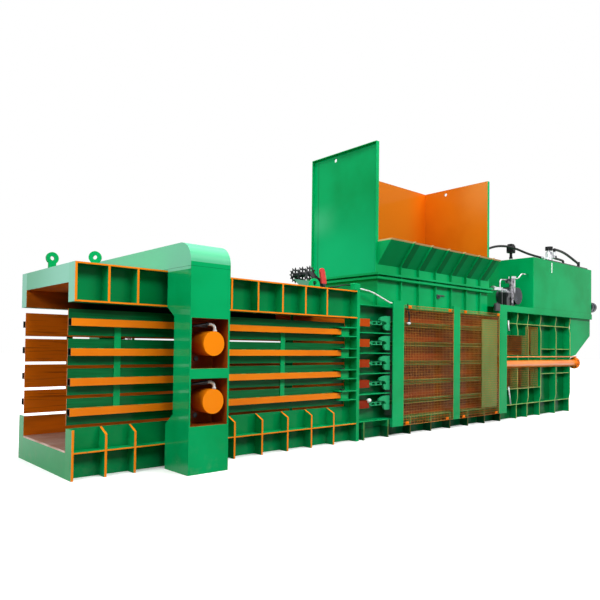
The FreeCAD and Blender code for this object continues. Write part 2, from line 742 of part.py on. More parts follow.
def make_needle_blocks():
    """Square needle heads, parked against the portal."""
    return group([block(BODY_X, BODY_X + BLOCK_L, -OUT_Y + 20.0, -OUT_Y + 100.0,
                        z - BLOCK_H / 2, z + BLOCK_H / 2) for z in LEVELS])


def make_needle_chains():
    """Flat link chains between the needle heads and the guides: side plates, tongue, rollers."""
    solids = []
    y = -RAIL_Y
    first = BODY_X + BLOCK_L + TONGUE_L
    pins = steps(first, CHAIN_PITCH, CHAIN_LINKS + 1)
    for z in LEVELS:
        tongue = block(BODY_X + BLOCK_L, first, y - LINK_W / 4, y + LINK_W / 4,
                       z - TONGUE_H / 2, z + TONGUE_H / 2)
        for x in pins:
            roller = rod("z", z - ROLLER_H / 2, z + ROLLER_H / 2, x, y, ROLLER_R)
            solids.append(join([tongue, roller]) if x == first else roller)
        for low in (z + ROLLER_H / 2, z - ROLLER_H / 2 - LINK_T):
            plate = [block(pins[0], pins[-1], y - LINK_W / 3, y + LINK_W / 3, low, low + LINK_T)]
            plate += [rod("z", low, low + LINK_T, x, y, LINK_W / 2) for x in pins]
            solids.append(join(plate))
    return group(solids)


def guide_plate(z):
    """Guide fork: an arm over the chain and a round lobe under it."""
    x1 = BODY_X + POSTS[0][0]
    x0 = x1 - GUIDE_L
    top = [(x0, z + 37), (x0 + 10, z + 62), (x0 + 50, z + 84), (x0 + 100, z + 92), (x1, z + 93)]
    under = [(x1, z - 84), (x1 - 62, z - 84), (x1 - 62, z - 14), (x1 - 92, z + 22)]
    arm = slab(top + under, "y", -OUT_Y + 8.0, GUIDE_T)
    lobe = rod("y", -OUT_Y + 8.0, -OUT_Y + 8.0 + GUIDE_T, x1 - 75.0, z - 47.0, 37.0)
    foot = block(x1 - 20.0, x1, -OUT_Y + 8.0, -SKIN_Y, z - 60.0, z + 80.0)
    return join([arm, lobe, foot])


def make_needle_guides():
    return group([guide_plate(z) for z in LEVELS])


def rail(z):
    """Channel rail that is open towards the guard and stands on the skin."""
    x0 = BODY_X + POSTS[0][0]
    x1 = BODY_X + POSTS[2][0]
    pieces = [block(x0, x1, -OUT_Y, -SKIN_Y, z + RAIL_H / 2 - RAIL_T, z + RAIL_H / 2),
              block(x0, x1, -OUT_Y, -SKIN_Y, z - RAIL_H / 2, z - RAIL_H / 2 + RAIL_T),
              block(x0, x1, -OUT_Y + RAIL_D, -OUT_Y + RAIL_D + RAIL_T, z - RAIL_H / 2, z + RAIL_H / 2)]
    return join(pieces)


def make_needle_rails():
    return group([rail(z) for z in LEVELS])


def make_posts():
    """Flat posts of the guard, held off the sill and the top box by spacers."""
    posts = []
    top = TANK_Z - BEAM_H
    for x, width in POSTS:
        x = x + BODY_X
        face = block(x, x + width, -GUARD_Y, -GUARD_Y + POST_T, POST_Z, top)
        foot = block(x, x + width, -GUARD_Y + POST_T, -OUT_Y, POST_Z, FLOOR_Z)
        head = block(x, x + width, -GUARD_Y + POST_T, -OUT_Y, ROOF_Z, top)
        posts.append(join([face, foot, head]))
    return group(posts)


def grille(x0, x1, y0, y1, z0, z1, nx, nz, bar):
    """Flat plate with a grid of square gaps."""
    wide = (x1 - x0 - (nx + 1) * bar) / nx
    high = (z1 - z0 - (nz + 1) * bar) / nz
    outer = Part.makePolygon([V(x0, y0, z0), V(x1, y0, z0), V(x1, y0, z1), V(x0, y0, z1), V(x0, y0, z0)])
    gaps = []
    for x in steps(x0 + bar, wide + bar, nx):
        for z in steps(z0 + bar, high + bar, nz):
            gaps.append(Part.makePolygon([V(x, y0, z), V(x, y0, z + high), V(x + wide, y0, z + high),
                                          V(x + wide, y0, z), V(x, y0, z)]))
    face = Part.makeFace([outer] + gaps, "Part::FaceMakerBullseye")
    return face.extrude(V(0, y1 - y0, 0))


def make_guards():
    """Two mesh guards with a clip at each corner."""
    solids = []
    y0 = -GUARD_Y + (POST_T - MESH_T) / 2
    z1 = TANK_Z - BEAM_H - MESH_DROP
    wide, high, deep = CLIP
    for left, right in zip(POSTS, POSTS[1:]):
        x0 = BODY_X + left[0] + left[1]
        x1 = BODY_X + right[0]
        solids.append(grille(x0, x1, y0, y0 + MESH_T, POST_Z, z1, MESH_NX, MESH_NZ, MESH_BAR))
        for x in (x0 + wide / 2, x1 - wide * 1.5):
            for z in (POST_Z + 5.0, z1 - high - 5.0):
                solids.append(block(x, x + wide, y0 - deep, y0, z, z + high))
    return group(solids)


def make_carriage():
    """Upright carriage plate with a shoe in every rail."""
    x1 = BODY_X + POSTS[2][0] - CARRIAGE_SET
    x0 = x1 - CARRIAGE_L
    plate_y = -OUT_Y - CARRIAGE_OUT
    pieces = [block(x0, x1, plate_y - CARRIAGE_T, plate_y, CARRIAGE_Z[0], CARRIAGE_Z[1])]
    half = RAIL_H / 2 - RAIL_T - SHOE_GAP
    for z in LEVELS:
        pieces.append(block(x0 + SHOE_SET, x1 - SHOE_SET, plate_y, -OUT_Y + RAIL_D - SHOE_BACK,
                            z - half, z + half))
    y, z = side_centre()
    pieces.append(block(x1 - SHOE_SET - SIDE_LUG_L, x1 - SHOE_SET, plate_y, y + 2 * SIDE_ROD_R,
                        z - SIDE_ROD_R, z + SIDE_ROD_R))
    return join(pieces)


def side_centre():
    """Axis of the side cylinder: its rod runs just under the middle rail."""
    return -RAIL_Y, LEVELS[WIRES // 2] - RAIL_H / 2 - SIDE_ROD_GAP - SIDE_ROD_R


def make_carriage_rod():
    y, z = side_centre()
    x0 = BODY_X + POSTS[2][0] - CARRIAGE_SET - SHOE_SET
    end = side_start() + CARRIAGE_TRAVEL + SIDE_ROD_SPARE
    head = rod("x", end - 50.0, end, y, z, SIDE_R - SIDE_WALL - CYL_GAP)
    return join([rod("x", x0, end, y, z, SIDE_ROD_R), head])


def side_start():
    return BODY_X + POSTS[2][0] + SIDE_SET


def make_side_barrel():
    """Carriage cylinder with its end flange, and the oil pipe that runs along it."""
    y, z = side_centre()
    x0 = side_start()
    x1 = x0 + SIDE_L
    barrel = rod("x", x0, x1, y, z, SIDE_R)
    barrel = join([barrel, rod("x", x1 - 2 * SIDE_FLANGE_T, x1 - SIDE_FLANGE_T, y, z, SIDE_FLANGE_R)])
    barrel = barrel.cut(rod("x", x0 + SIDE_GLAND_T, x1 - SIDE_HEAD_T - SIDE_FLANGE_T, y, z,
                            SIDE_R - SIDE_WALL))
    barrel = barrel.cut(rod("x", x0 - 1, x0 + SIDE_GLAND_T + 1, y, z, SIDE_ROD_R + CYL_GAP))
    pipe_y = -OUT_Y - OIL_PIPE_R - OIL_PIPE_GAP
    pipe_z = z + OIL_PIPE_RISE
    pieces = [barrel, rod("x", x0 + SIDE_GLAND_T, x1 - SIDE_HEAD_T, pipe_y, pipe_z, OIL_PIPE_R)]
    for x in (x0 + SIDE_GLAND_T / 2, x1 - SIDE_HEAD_T - SIDE_GLAND_T):
        port = block(x, x + SIDE_GLAND_T, pipe_y - OIL_PIPE_R, y, z + SIDE_R - SIDE_WALL,
                     pipe_z + OIL_PIPE_R)
        pieces.append(port.cut(rod("x", x0, x1, y, z, SIDE_R)))
    return join(pieces)


# ---- rear frame ----

def rear_rib(x, low, high):
    """Rib whose outer edge draws in at the flanges."""
    draw = OUT_Y - NOTCH
    outer = [(OUT_Y, FRAME_H - FLANGE_T), (OUT_Y, REAR_FLANGE_Z + NOTCH_RUN), (draw, REAR_FLANGE_Z),
             (OUT_Y, REAR_FLANGE_Z - NOTCH_RUN), (OUT_Y, FLOOR_Z + NOTCH_RUN), (draw, FLOOR_Z), (draw, 0)]
    outline = [(-SKIN_Y, FRAME_H - FLANGE_T)] + [(-y, z) for y, z in outer] + [(-SKIN_Y, 0)]
    rib = slab(outline, "x", x, RIB_T)
    return rib.common(block(x - 1, x + RIB_T + 1, -OUT_Y - 1, OUT_Y, low, high))


def make_hook(z):
    """Bent round hook on the skin of the rear frame."""
    x = REAR_X + HOOK_X
    out = -SKIN_Y - HOOK_REACH
    return bent_tube([(x, -SKIN_Y + SKIN_T / 2, z), (x, out, z), (x, out, z - HOOK_DROP)], HOOK_R, "hook")


def make_rear_side():
    """Ribbed side of the rear frame with its two window holes and the slot for the side cylinder."""
    x0, x1 = REAR_X, BASE_L
    pieces = [block(x0, x1, -SKIN_Y, -IN_Y, 0, FRAME_H)]
    pieces.append(block(x0, x1, -OUT_Y, -SKIN_Y, FRAME_H - FLANGE_T, FRAME_H))
    draw = OUT_Y - NOTCH
    for z in (REAR_FLANGE_Z, FLOOR_Z):
        pieces.append(block(x0, x1, -draw, -SKIN_Y, z - LEDGE_T / 2, z + LEDGE_T / 2))
    places = [x0 + x for x in REAR_RIBS]
    pieces.append(rear_rib(places[0], HIGH_WINDOW[1], FRAME_H))
    pieces.append(rear_rib(places[0], 0, HIGH_WINDOW[0]))
    for x in places[1:] + [x1 - RIB_T]:
        pieces.append(rear_rib(x, 0, FRAME_H))
    pieces.append(block(x0, places[2], -OUT_Y, -SKIN_Y, LOW_WINDOW[0] - LEDGE_T, LOW_WINDOW[0]))
    for z in STIFFENER_Z:
        pieces.append(block(places[2], x1, -draw, -SKIN_Y, z - LEDGE_T / 2, z + LEDGE_T / 2))
    side = join(pieces)
    left, step, right = x0 + WINDOW_MARGIN, x0 + TALL_HOLE, x0 + SCREEN_REACH + WINDOW_MARGIN
    holes = [(left, right, LOW_WINDOW[0], LOW_WINDOW[1]), (left, right, HIGH_WINDOW[0], HIGH_WINDOW[1]),
             (step, right, HIGH_WINDOW[0], HIGH_WINDOW[2])]
    for a, b, low, high in holes:
        side = side.cut(block(a, b, -SKIN_Y, -IN_Y + 1, low, high))
    y, z = side_centre()
    seat = SIDE_R + SEAT
    side = side.cut(rod("x", x0 - 1, x1 + 1, y, z, seat))
    side = side.cut(block(x0 - 1, x1 + 1, -OUT_Y - 1, y, z - seat, z + seat))
    return join([side] + [make_hook(z) for z in HOOK_Z])


def make_window_mesh():
    """Mesh screens in front of the ribs: one below the side cylinder and a stepped pair above it."""
    x0 = REAR_X + SEAT
    step = x0 + SCREEN_STEP
    x1 = x0 + SCREEN_REACH
    y0 = -OUT_Y - MESH_T
    rows = [(x0, x1, LOW_WINDOW[0], LOW_WINDOW[1], sum(SCREEN_NX), SCREEN_NZ[0]),
            (x0, step, HIGH_WINDOW[0], HIGH_WINDOW[1], SCREEN_NX[0], SCREEN_NZ[1]),
            (step, x1, HIGH_WINDOW[0], HIGH_WINDOW[2], SCREEN_NX[1], SCREEN_NZ[2])]
    screens = [grille(a, b, y0, -OUT_Y, low, high, nx, nz, MESH_BAR) for a, b, low, high, nx, nz in rows]
    return group([screens[0], join(screens[1:])])


def make_far_body_side():
    """Plain ribbed far side of the press body and rear frame."""
    x0, x1 = BODY_X, BASE_L
    pieces = [block(x0, x1, IN_Y, SKIN_Y, 0, FRAME_H)]
    for z in (0, FLOOR_Z - LEDGE_T, REAR_FLANGE_Z - LEDGE_T / 2, FRAME_H - LEDGE_T):
        pieces.append(block(x0, x1, SKIN_Y, OUT_Y, z, z + LEDGE_T))
    count = int((x1 - x0 - BODY_RIB_X) // BODY_RIB_PITCH) + 1
    for x in steps(x0 + BODY_RIB_X, BODY_RIB_PITCH, count) + [x1 - RIB_T]:
        pieces.append(block(x, x + RIB_T, SKIN_Y, OUT_Y, 0, FRAME_H))
    return join(pieces)


def make_end_plate():
    plate = block(BASE_L - END_PLATE_T, BASE_L, -IN_Y, IN_Y, BED_H, FRAME_H)
    return plate.cut(rod("x", BASE_L - END_PLATE_T - 1, BASE_L + 1, 0, MAIN_Z, MAIN_R + CYL_GAP))


# ---- ram ----

def make_ram():
    """Ram plate with its ribs, and the cover that shuts the hopper behind it."""
    x0 = RAM_X
    half = IN_Y - RAM_SIDE_GAP
    low = FLOOR_Z + RAM_FOOT_GAP
    high = ROOF_Z - RAM_SIDE_GAP
    back = x0 + RAM_PLATE
    pieces = [block(x0, back, -half, half, low, high)]
    pieces.append(block(back, BASE_L - END_PLATE_T - RAM_BACK, -half, half, high - RAM_COVER_T, high))
    for y in (-half, -half / 2, half / 2 - RIB_T, half - RIB_T):
        pieces.append(slab([(back, low), (back + RAM_RIB_L, high - RAM_COVER_T), (back, high - RAM_COVER_T)],
                           "y", y, RIB_T))
    pieces.append(block(back, back + RAM_RIB_L, -half, half, low, low + RAM_COVER_T))
    return join(pieces)


def make_ram_rod():
    x0 = RAM_X + RAM_PLATE
    end = MAIN_END - MAIN_SPARE / 2
    piston = rod("x", end - MAIN_PISTON_T, end, 0, MAIN_Z, MAIN_R - MAIN_WALL - CYL_GAP)
    boss = rod("x", x0, x0 + MAIN_GLAND_T, 0, MAIN_Z, MAIN_ROD_R * 1.3)
    return join([rod("x", x0, end, 0, MAIN_Z, MAIN_ROD_R), piston, boss])


def make_main_barrel():
    end = MAIN_END + MAIN_HEAD_T
    barrel = rod("x", MAIN_X, end, 0, MAIN_Z, MAIN_R)
    collar = rod("x", BASE_L, BASE_L + MAIN_HEAD_T, 0, MAIN_Z, MAIN_FLANGE_R)
    barrel = join([barrel, collar])
    barrel = barrel.cut(rod("x", MAIN_X + MAIN_GLAND_T, MAIN_END, 0, MAIN_Z, MAIN_R - MAIN_WALL))
    return barrel.cut(rod("x", MAIN_X - 1, MAIN_X + MAIN_GLAND_T + 1, 0, MAIN_Z, MAIN_ROD_R + CYL_GAP))


# ---- hopper ----

def edge_frame(u0, u1, z0, z1, make):
    """Folded border round a panel; make builds a strip between two pairs of limits."""
    t = HOP_EDGE_T
    return [make(u0, u0 + t, z0, z1), make(u1 - t, u1, z0, z1),
            make(u0, u1, z1 - t, z1), make(u0, u1, z0, z0 + t)]


def make_left_panel():
    def strip(a, b, low, high):
        return block(HOP_X - HOP_EDGE, HOP_X, a, b, low, high)
    sheet = block(HOP_X, HOP_X + HOP_T, -HOP_HALF, HOP_HALF, HOP_Z, HOP_TOP)
    panel = join([sheet] + edge_frame(-HOP_HALF, HOP_HALF, HOP_Z, HOP_TOP, strip))
    return panel.cut(rod("x", HOP_X - HOP_EDGE, HOP_X + HOP_EDGE, LIFT_HOLE_Y, HOP_TOP - LIFT_HOLE_DROP,
                         LIFT_HOLE_R))


def make_right_panel():
    x1 = HOP_X + HOP_L
    low, high = -HOP_HALF, HOP_HALF - HOP_T

    def strip(a, b, z0, z1):
        return block(x1, x1 + HOP_EDGE, a, b, z0, z1)
    sheet = block(x1 - HOP_T, x1, low, high, HOP_Z, HOP_TOP)
    panel = join([sheet] + edge_frame(low, high, HOP_Z, HOP_TOP, strip))
    return panel.cut(rod("x", x1 - HOP_EDGE, x1 + HOP_EDGE, LIFT_HOLE_Y, HOP_TOP - LIFT_HOLE_DROP,
                         LIFT_HOLE_R))


def make_far_panel():
    x0, x1 = HOP_X + HOP_T, HOP_X + HOP_L

    def strip(a, b, z0, z1):
        return block(a, b, HOP_HALF, HOP_HALF + HOP_EDGE, z0, z1)
    sheet = block(x0, x1, HOP_HALF - HOP_T, HOP_HALF, HOP_Z, HOP_TOP)
    return join([sheet] + edge_frame(x0, x1, HOP_Z, HOP_TOP, strip))


def lip_section(depth, shift):
    """Section of the lip: an upright foot, then the slope; shift moves it outwards."""
    fold = HOP_Z + LIP_FOLD
    y = HOP_HALF + shift
    return [(-y, HOP_Z), (-y, fold), (-y - LIP_OUT, fold + LIP_RISE),
            (-y - LIP_OUT + depth, fold + LIP_RISE), (-y + depth, fold), (-y + depth, HOP_Z)]


def make_lip():
    """Loading lip: folded sheet with ribs under it and a gusset at each end."""
    x0 = HOP_X
    x1 = HOP_X + HOP_L
    pieces = [slab(lip_section(HOP_T, 0), "x", x0, HOP_L)]
    for x in steps(x0 + HOP_RIB_X, HOP_RIB_PITCH, HOP_RIBS):
        pieces.append(slab(lip_section(HOP_RIB_D, HOP_RIB_D), "x", x, HOP_RIB_T))
    fold = HOP_Z + LIP_FOLD
    wing = [(-HOP_HALF, fold), (-HOP_HALF - LIP_OUT, fold + LIP_RISE), (-HOP_HALF, fold + LIP_RISE)]
    pieces += [slab(wing, "x", x0, HOP_T), slab(wing, "x", x1 - HOP_T, HOP_T)]
    lip = join(pieces)
    above = block(x0 + HOP_T, x1 - HOP_T, -HOP_HALF + HOP_T, 0, 0, HOP_TOP)
    return lip.cut(above).cut(block(x0 - 1, x0 + HOP_T, -HOP_HALF, 0, 0, HOP_TOP)).cut(
        block(x1 - HOP_T, x1 + 1, -HOP_HALF, 0, 0, HOP_TOP))


def make_neck():
    """Neck that stands on the press body, with ribs and the two leaves of the rim."""
    x0, x1 = HOP_X, HOP_X + HOP_L
    inner = block(x0 + HOP_T, x1 - HOP_T, -HOP_HALF + HOP_T, HOP_HALF - HOP_T, 0, HOP_TOP)
    wall = block(x0, x1, -HOP_HALF, HOP_HALF, FRAME_H, HOP_Z)
    pieces = [wall]
    for low in (RIM_Z, HOP_Z - RIM_LEAF):
        pieces.append(block(x0 - RIM_OUT, x1 + RIM_OUT, -HOP_HALF - RIM_OUT, HOP_HALF + RIM_OUT,
                            low, low + RIM_LEAF))
    for x in steps(x0 + HOP_RIB_X, HOP_RIB_PITCH, HOP_RIBS):
        pieces.append(block(x, x + HOP_RIB_T, -HOP_HALF - HOP_RIB_D, HOP_HALF + HOP_RIB_D, FRAME_H, HOP_Z))
    return join(pieces).cut(inner)


# ---- tank, pump set and small fittings ----

def make_tank():
    """Closed tank: it stands on the frame, and its near side reaches out over the side beam."""
    outline = [(-OUT_Y, FRAME_H), (OUT_Y, FRAME_H), (OUT_Y, TANK_TOP), (-TANK_FACE, TANK_TOP),
               (-TANK_FACE, TANK_Z), (-OUT_Y, TANK_Z)]
    tank = slab(outline, "x", TANK_X, TANK_L)
    corners = [e for e in tank.Edges if abs(e.Length - (TANK_TOP - TANK_Z)) < 1]
    return tank.makeFillet(TANK_EDGE_R, corners)


def make_tank_support():
    """Side beam from the last post to the tank's end, and the gussets under the overhang."""
    x0 = BODY_X + POSTS[2][0]
    x1 = TANK_X + TANK_L
    low = TANK_Z - BEAM_H
    beam = join([block(x0, x1, -GUARD_Y, -GUARD_Y + BEAM_T, low, TANK_Z),
                 block(x0, x1, -GUARD_Y, -OUT_Y, TANK_Z - BEAM_T, TANK_Z),
                 block(x0, x1, -GUARD_Y, -OUT_Y, low, low + BEAM_T)])
    root, knee, tip = GUSSET_Z
    outline = [(BASE_L, FRAME_H), (x1, FRAME_H), (x1, tip), (BASE_L + GUSSET_FOOT, knee), (BASE_L, root)]
    gusset = slab(outline, "y", -OUT_Y, GUSSET_T)
    return group([beam, gusset, mirrored(gusset)])


def make_tank_trim():
    dx, length, dy, width, high = LID
    lid = block(TANK_X + dx, TANK_X + dx + length, -TANK_FACE + dy, -TANK_FACE + dy + width,
                TANK_TOP, TANK_TOP + high)
    gx, gw, gh, drop, deep = GLASS
    glass = block(TANK_X + gx, TANK_X + gx + gw, -TANK_FACE - deep, -TANK_FACE,
                  TANK_TOP - drop - gh, TANK_TOP - drop)
    return group([lid, glass])


def stacked(x, y, base, tiers):
    """Round tiers on one upright axis, each given as radius and height, and the height reached."""
    pieces = []
    for radius, high in tiers:
        pieces.append(rod("z", base, base + high, x, y, radius))
        base += high
    return pieces, base


def make_valve():
    x, y = VALVE
    half_x, half_y = VALVE_HALF
    pieces, base = stacked(x, y, TANK_TOP, VALVE_STEM)
    top = base + VALVE_H
    pieces.append(block(x - half_x, x + half_x, y - half_y, y + half_y, base, top))
    pieces.append(block(x - half_x * 0.65, x + half_x * 0.65, y - half_x, y + half_x,
                        base + VALVE_CAP_H, top - VALVE_CAP_H))
    pieces.append(block(x - half_x * 0.8, x + half_x * 0.8, y - half_y * 0.8, y + half_y * 0.8,
                        top, top + VALVE_CAP_H))
    return join(pieces)


def make_filter():
    """Filter head beside the lid, with the suction port to its left and the return port on its right."""
    x, y = FILTER
    top = TANK_TOP + LID[4]
    pieces, _ = stacked(x, y, top, FILTER_STEPS)
    half, low, high = BRANCH
    elbow = TANK_X + PORT_B_X - PORT_STUB
    pieces.append(block(x, elbow + half, y - half, y + half, top + low, top + high))
    pieces.append(rod("z", top + high, PORT_Z, elbow, y, PORT_R))
    pieces.append(rod("x", elbow, TANK_X + PORT_B_X, y, PORT_Z, PORT_R))
    pieces.append(Part.makeSphere(PORT_R, V(elbow, y, PORT_Z)))
    port = TANK_X + PORT_A_X
    pieces.append(rod("x", port, x, PORT_A_Y, PORT_A_Z, PORT_A_R))
    pieces.append(rod("x", port + PORT_STUB, port + 2 * PORT_STUB, PORT_A_Y, PORT_A_Z, PORT_A_R * 1.5))
    pieces.append(rod("z", top, PORT_A_Z, port + 3 * PORT_STUB, PORT_A_Y, PORT_A_R * 0.8))
    start = elbow + half
    (first, z1), (last, z2) = DRAIN
    route = [(start, y, top + z1), (start + first, y, top + z1), (start + last, y, top + z2),
             (start + last, y, top)]
    return join(pieces + [bent_tube(route, DRAIN_R, "drain pipe")])


def make_tank_fittings():
    """Valve on its stem, the filter head, and the foot that the return hose comes down to."""
    x, y, z = on_tank(HOSE_B)[-1]
    foot = rod("z", TANK_TOP + LID[4], z + FOOT_R, x + FOOT_R, y, FOOT_R)
    return group([make_valve(), make_filter(), foot])


def on_tank(points):
    """Points given from the tank's front top edge, at their place on the machine."""
    return [(TANK_X + x, y, TANK_TOP + z) for x, y, z in points]


def make_hose_a():
    x, y = HOSE_START
    return bent_tube([(TANK_X + x, y, FRAME_H)] + on_tank(HOSE_A), HOSE_R, "hose a")


def cable_line():
    return [(BODY_X + x, -GUARD_Y + y, ROOF_Z + z) for x, y, z in CABLE]


def make_motors():
    """Pump motor across the deck and the motor on the tank's end, each with a stepped can."""
    y0 = -OUT_Y + PUMP_SET
    rim, lead, wide = PUMP_RIM
    foot, foot_0, foot_1 = PUMP_FOOT
    box, box_0, box_1, rise = PUMP_BOX
    deck = FRAME_H + BASE_PLATE[4]
    can = join([rod("y", y0, y0 + PUMP_L, PUMP_X, PUMP_Z, PUMP_R),
                rod("y", y0 - lead, y0 + wide, PUMP_X, PUMP_Z, PUMP_R + rim),
                block(PUMP_X - foot, PUMP_X + foot, y0 + foot_0, y0 + foot_1, deck, PUMP_Z - PUMP_R / 2),
                block(PUMP_X - box, PUMP_X + box, y0 + box_0, y0 + box_1, PUMP_Z, PUMP_Z + rise)])
    radius, length, dy, dz = END_MOTOR
    x0 = TANK_X + TANK_L
    x1 = x0 + length
    y, z = -GUARD_Y + dy, TANK_Z + dz
    tail = join([rod("x", x0, x1, y, z, radius * 0.92), rod("x", x1 - radius * 0.9, x1, y, z, radius),
                 rod("x", x0, x0 + radius * 0.3, y, z, radius * 1.14)])
    return group([can, tail])


def make_pump():
    """Pump on its base: bell housing, hand valve column, inlet cylinder and bypass pipe."""
    x, y = COLUMN
    bell_y = -OUT_Y + BELL_SET
    y0 = -OUT_Y + PUMP_SET
    back, ahead, near, far, thick = BASE_PLATE
    deck = FRAME_H + thick
    half_x, half_y = COLUMN_HALF
    left = PUMP_X - PUMP_R - BELL_L
    inlet_z = FRAME_H + INLET_RISE
    x_in, x_out = [TANK_X - back_off for back_off in INLET]
    pieces = [block(PUMP_X - back, PUMP_X + ahead, y0 + near, y0 + far, FRAME_H, deck),
              rod("x", left, PUMP_X - PUMP_R, bell_y, PUMP_Z, BELL_R),
              block(left - BELL_R / 4, left + BELL_R, bell_y - BELL_R * 0.8, bell_y + BELL_R * 0.8,
                    deck, PUMP_Z + BELL_R / 2),
              block(x - half_x, x + half_x, y - half_y, y + half_y, FRAME_H + COLUMN_LOW, COLUMN_TOP),
              rod("z", FRAME_H + thick / 2, FRAME_H + COLUMN_LOW, x, y, COLUMN_FOOT_R),
              rod("x", x_in, x_out, bell_y, inlet_z, INLET_R),
              rod("x", x_in - INLET_R / 2, x_in + INLET_R, bell_y, inlet_z, INLET_R * 1.25),
              rod("x", x_out, x - half_x + 1, bell_y, inlet_z, INLET_R * 0.6),
              block(x_out, x_out + INLET_R, bell_y - INLET_R, bell_y + INLET_R, deck, inlet_z + INLET_R)]
    route = [(x + dx, bell_y, COLUMN_TOP + dz) for dx, dz in BYPASS]
    route.append((route[-1][0], bell_y, inlet_z))
    route[0] = (x - half_x / 2, bell_y, route[0][2])
    pieces.append(bent_tube(route, BYPASS_R, "bypass pipe"))
    pieces.append(block(x - half_x, x + half_x / 2, y, bell_y + INLET_R, COLUMN_TOP - half_x, COLUMN_TOP))
    pieces.append(block(x - half_x, x, y, bell_y + INLET_R, inlet_z - INLET_R, inlet_z + INLET_R))
    pump = join(pieces).cut(rod("y", y0 - PUMP_RIM[1] - PUMP_GAP, y0 + PUMP_L, PUMP_X, PUMP_Z,
                                PUMP_R + PUMP_GAP))
    radius, depth = CRANK_STEM
    return pump.cut(rod("z", COLUMN_TOP - depth - 1, COLUMN_TOP + 1, x, y, radius + PIN_FIT))


def make_pump_lever():
    """Hand lever that turns on top of the column: stem, hub, cranked arm and grip."""
    x, y = COLUMN
    z = COLUMN_TOP
    radius, high = CRANK_HUB
    stem, depth = CRANK_STEM
    start, end, grip = GRIP
    route = [(x + dx, y, z + dz) for dx, dz in CRANK]
    return join([rod("z", z - depth, z + high, x, y, stem), rod("z", z + LUG_GAP, z + high, x, y, radius),
                 bent_tube(route, CRANK_R, "lever arm"),
                 rod("x", x + start, x + end, y, z + CRANK[-1][1], grip)])


def wheel_centre():
    return PIVOT_X - WHEEL_BACK, PIVOT_Z + WHEEL_LIFT


def toothed_disc(y):
    """Spiked disc of the length wheel, with round windows between hub and rim."""
    rim = WHEEL_R - TOOTH
    x, z = wheel_centre()
    points = []
    for i in range(TEETH):
        for share, radius in ((0.0, WHEEL_R), (0.3, rim), (0.7, rim)):
            angle = 2 * math.pi * (i + share) / TEETH
            points.append((x + radius * math.sin(angle), z + radius * math.cos(angle)))
    disc = slab(points, "y", y, WHEEL_T)
    for i in range(DISC_HOLES):
        angle = 2 * math.pi * (i + 0.5) / DISC_HOLES
        disc = disc.cut(rod("y", y - 1, y + WHEEL_T + 1, x + DISC_HOLE_RING * math.sin(angle),
                            z + DISC_HOLE_RING * math.cos(angle), DISC_HOLE_R))
    return disc


def make_wheel():
    x, z = wheel_centre()
    low, high = WHEEL_Y - WHEEL_HALF, WHEEL_Y + WHEEL_HALF
    gap = (high - low - WHEEL_T) / (DISCS - 1)
    pieces = [toothed_disc(low + gap * i) for i in range(DISCS)]
    pieces.append(rod("y", low - HUB_OUT, high + HUB_OUT, x, z, HUB_R))
    wheel = join(pieces)
    return wheel.cut(rod("y", low - HUB_OUT - 1, high + HUB_OUT + 1, x, z, AXLE_R + PIN_FIT))


def link_plate(ends, y, thick):
    """Plate with two round ends, each given as x, z and radius."""
    (xa, za, ra), (xb, zb, rb) = ends
    run = V(xb - xa, 0, zb - za)
    lean = (ra - rb) / run.Length
    side = math.sqrt(1 - lean * lean)
    along = V(run).normalize()
    across = V(-along.z, 0, along.x)
    corners = []
    for x, z, radius, way in ((xa, za, ra, 1), (xb, zb, rb, 1), (xb, zb, rb, -1), (xa, za, ra, -1)):
        spot = V(x, 0, z) + along * (lean * radius) + across * (side * radius * way)
        corners.append((spot.x, spot.z))
    return join([slab(corners, "y", y, thick), rod("y", y, y + thick, xa, za, ra),
                 rod("y", y, y + thick, xb, zb, rb)])


def make_wheel_arm():
    """Fork with the wheel's axle, its shaft and cross tie, and the hand lever on the shaft's end."""
    x, z = wheel_centre()
    reach = WHEEL_HALF + FORK_GAP
    low, high = WHEEL_Y - reach - FORK_T, WHEEL_Y + reach + FORK_T
    ends = ((x, z, FORK_EYES[0]), (PIVOT_X, PIVOT_Z, FORK_EYES[1]))
    pieces = [link_plate(ends, low, FORK_T), link_plate(ends, high - FORK_T, FORK_T)]
    pieces.append(rod("y", low, high, x, z, AXLE_R))
    lever_y = low - CHEEK_GAP - FORK_T - LEVER_GAP - LEVER_T
    pieces.append(rod("y", lever_y, high + CHEEK_GAP + FORK_T + SHAFT_END, PIVOT_X, PIVOT_Z, SHAFT_R))
    tie_x = PIVOT_X - TIE_BACK
    tie_z = PIVOT_Z + TIE_RISE
    pieces.append(block(tie_x - TIE_HALF, tie_x + TIE_HALF, low, high, tie_z - TIE_HALF, tie_z + TIE_HALF))
    handle = ((PIVOT_X, PIVOT_Z, LEVER_R), (PIVOT_X - LEVER_LEAN, PIVOT_Z + LEVER_H, LEVER_R))
    pieces.append(link_plate(handle, lever_y, LEVER_T))
    return join(pieces)


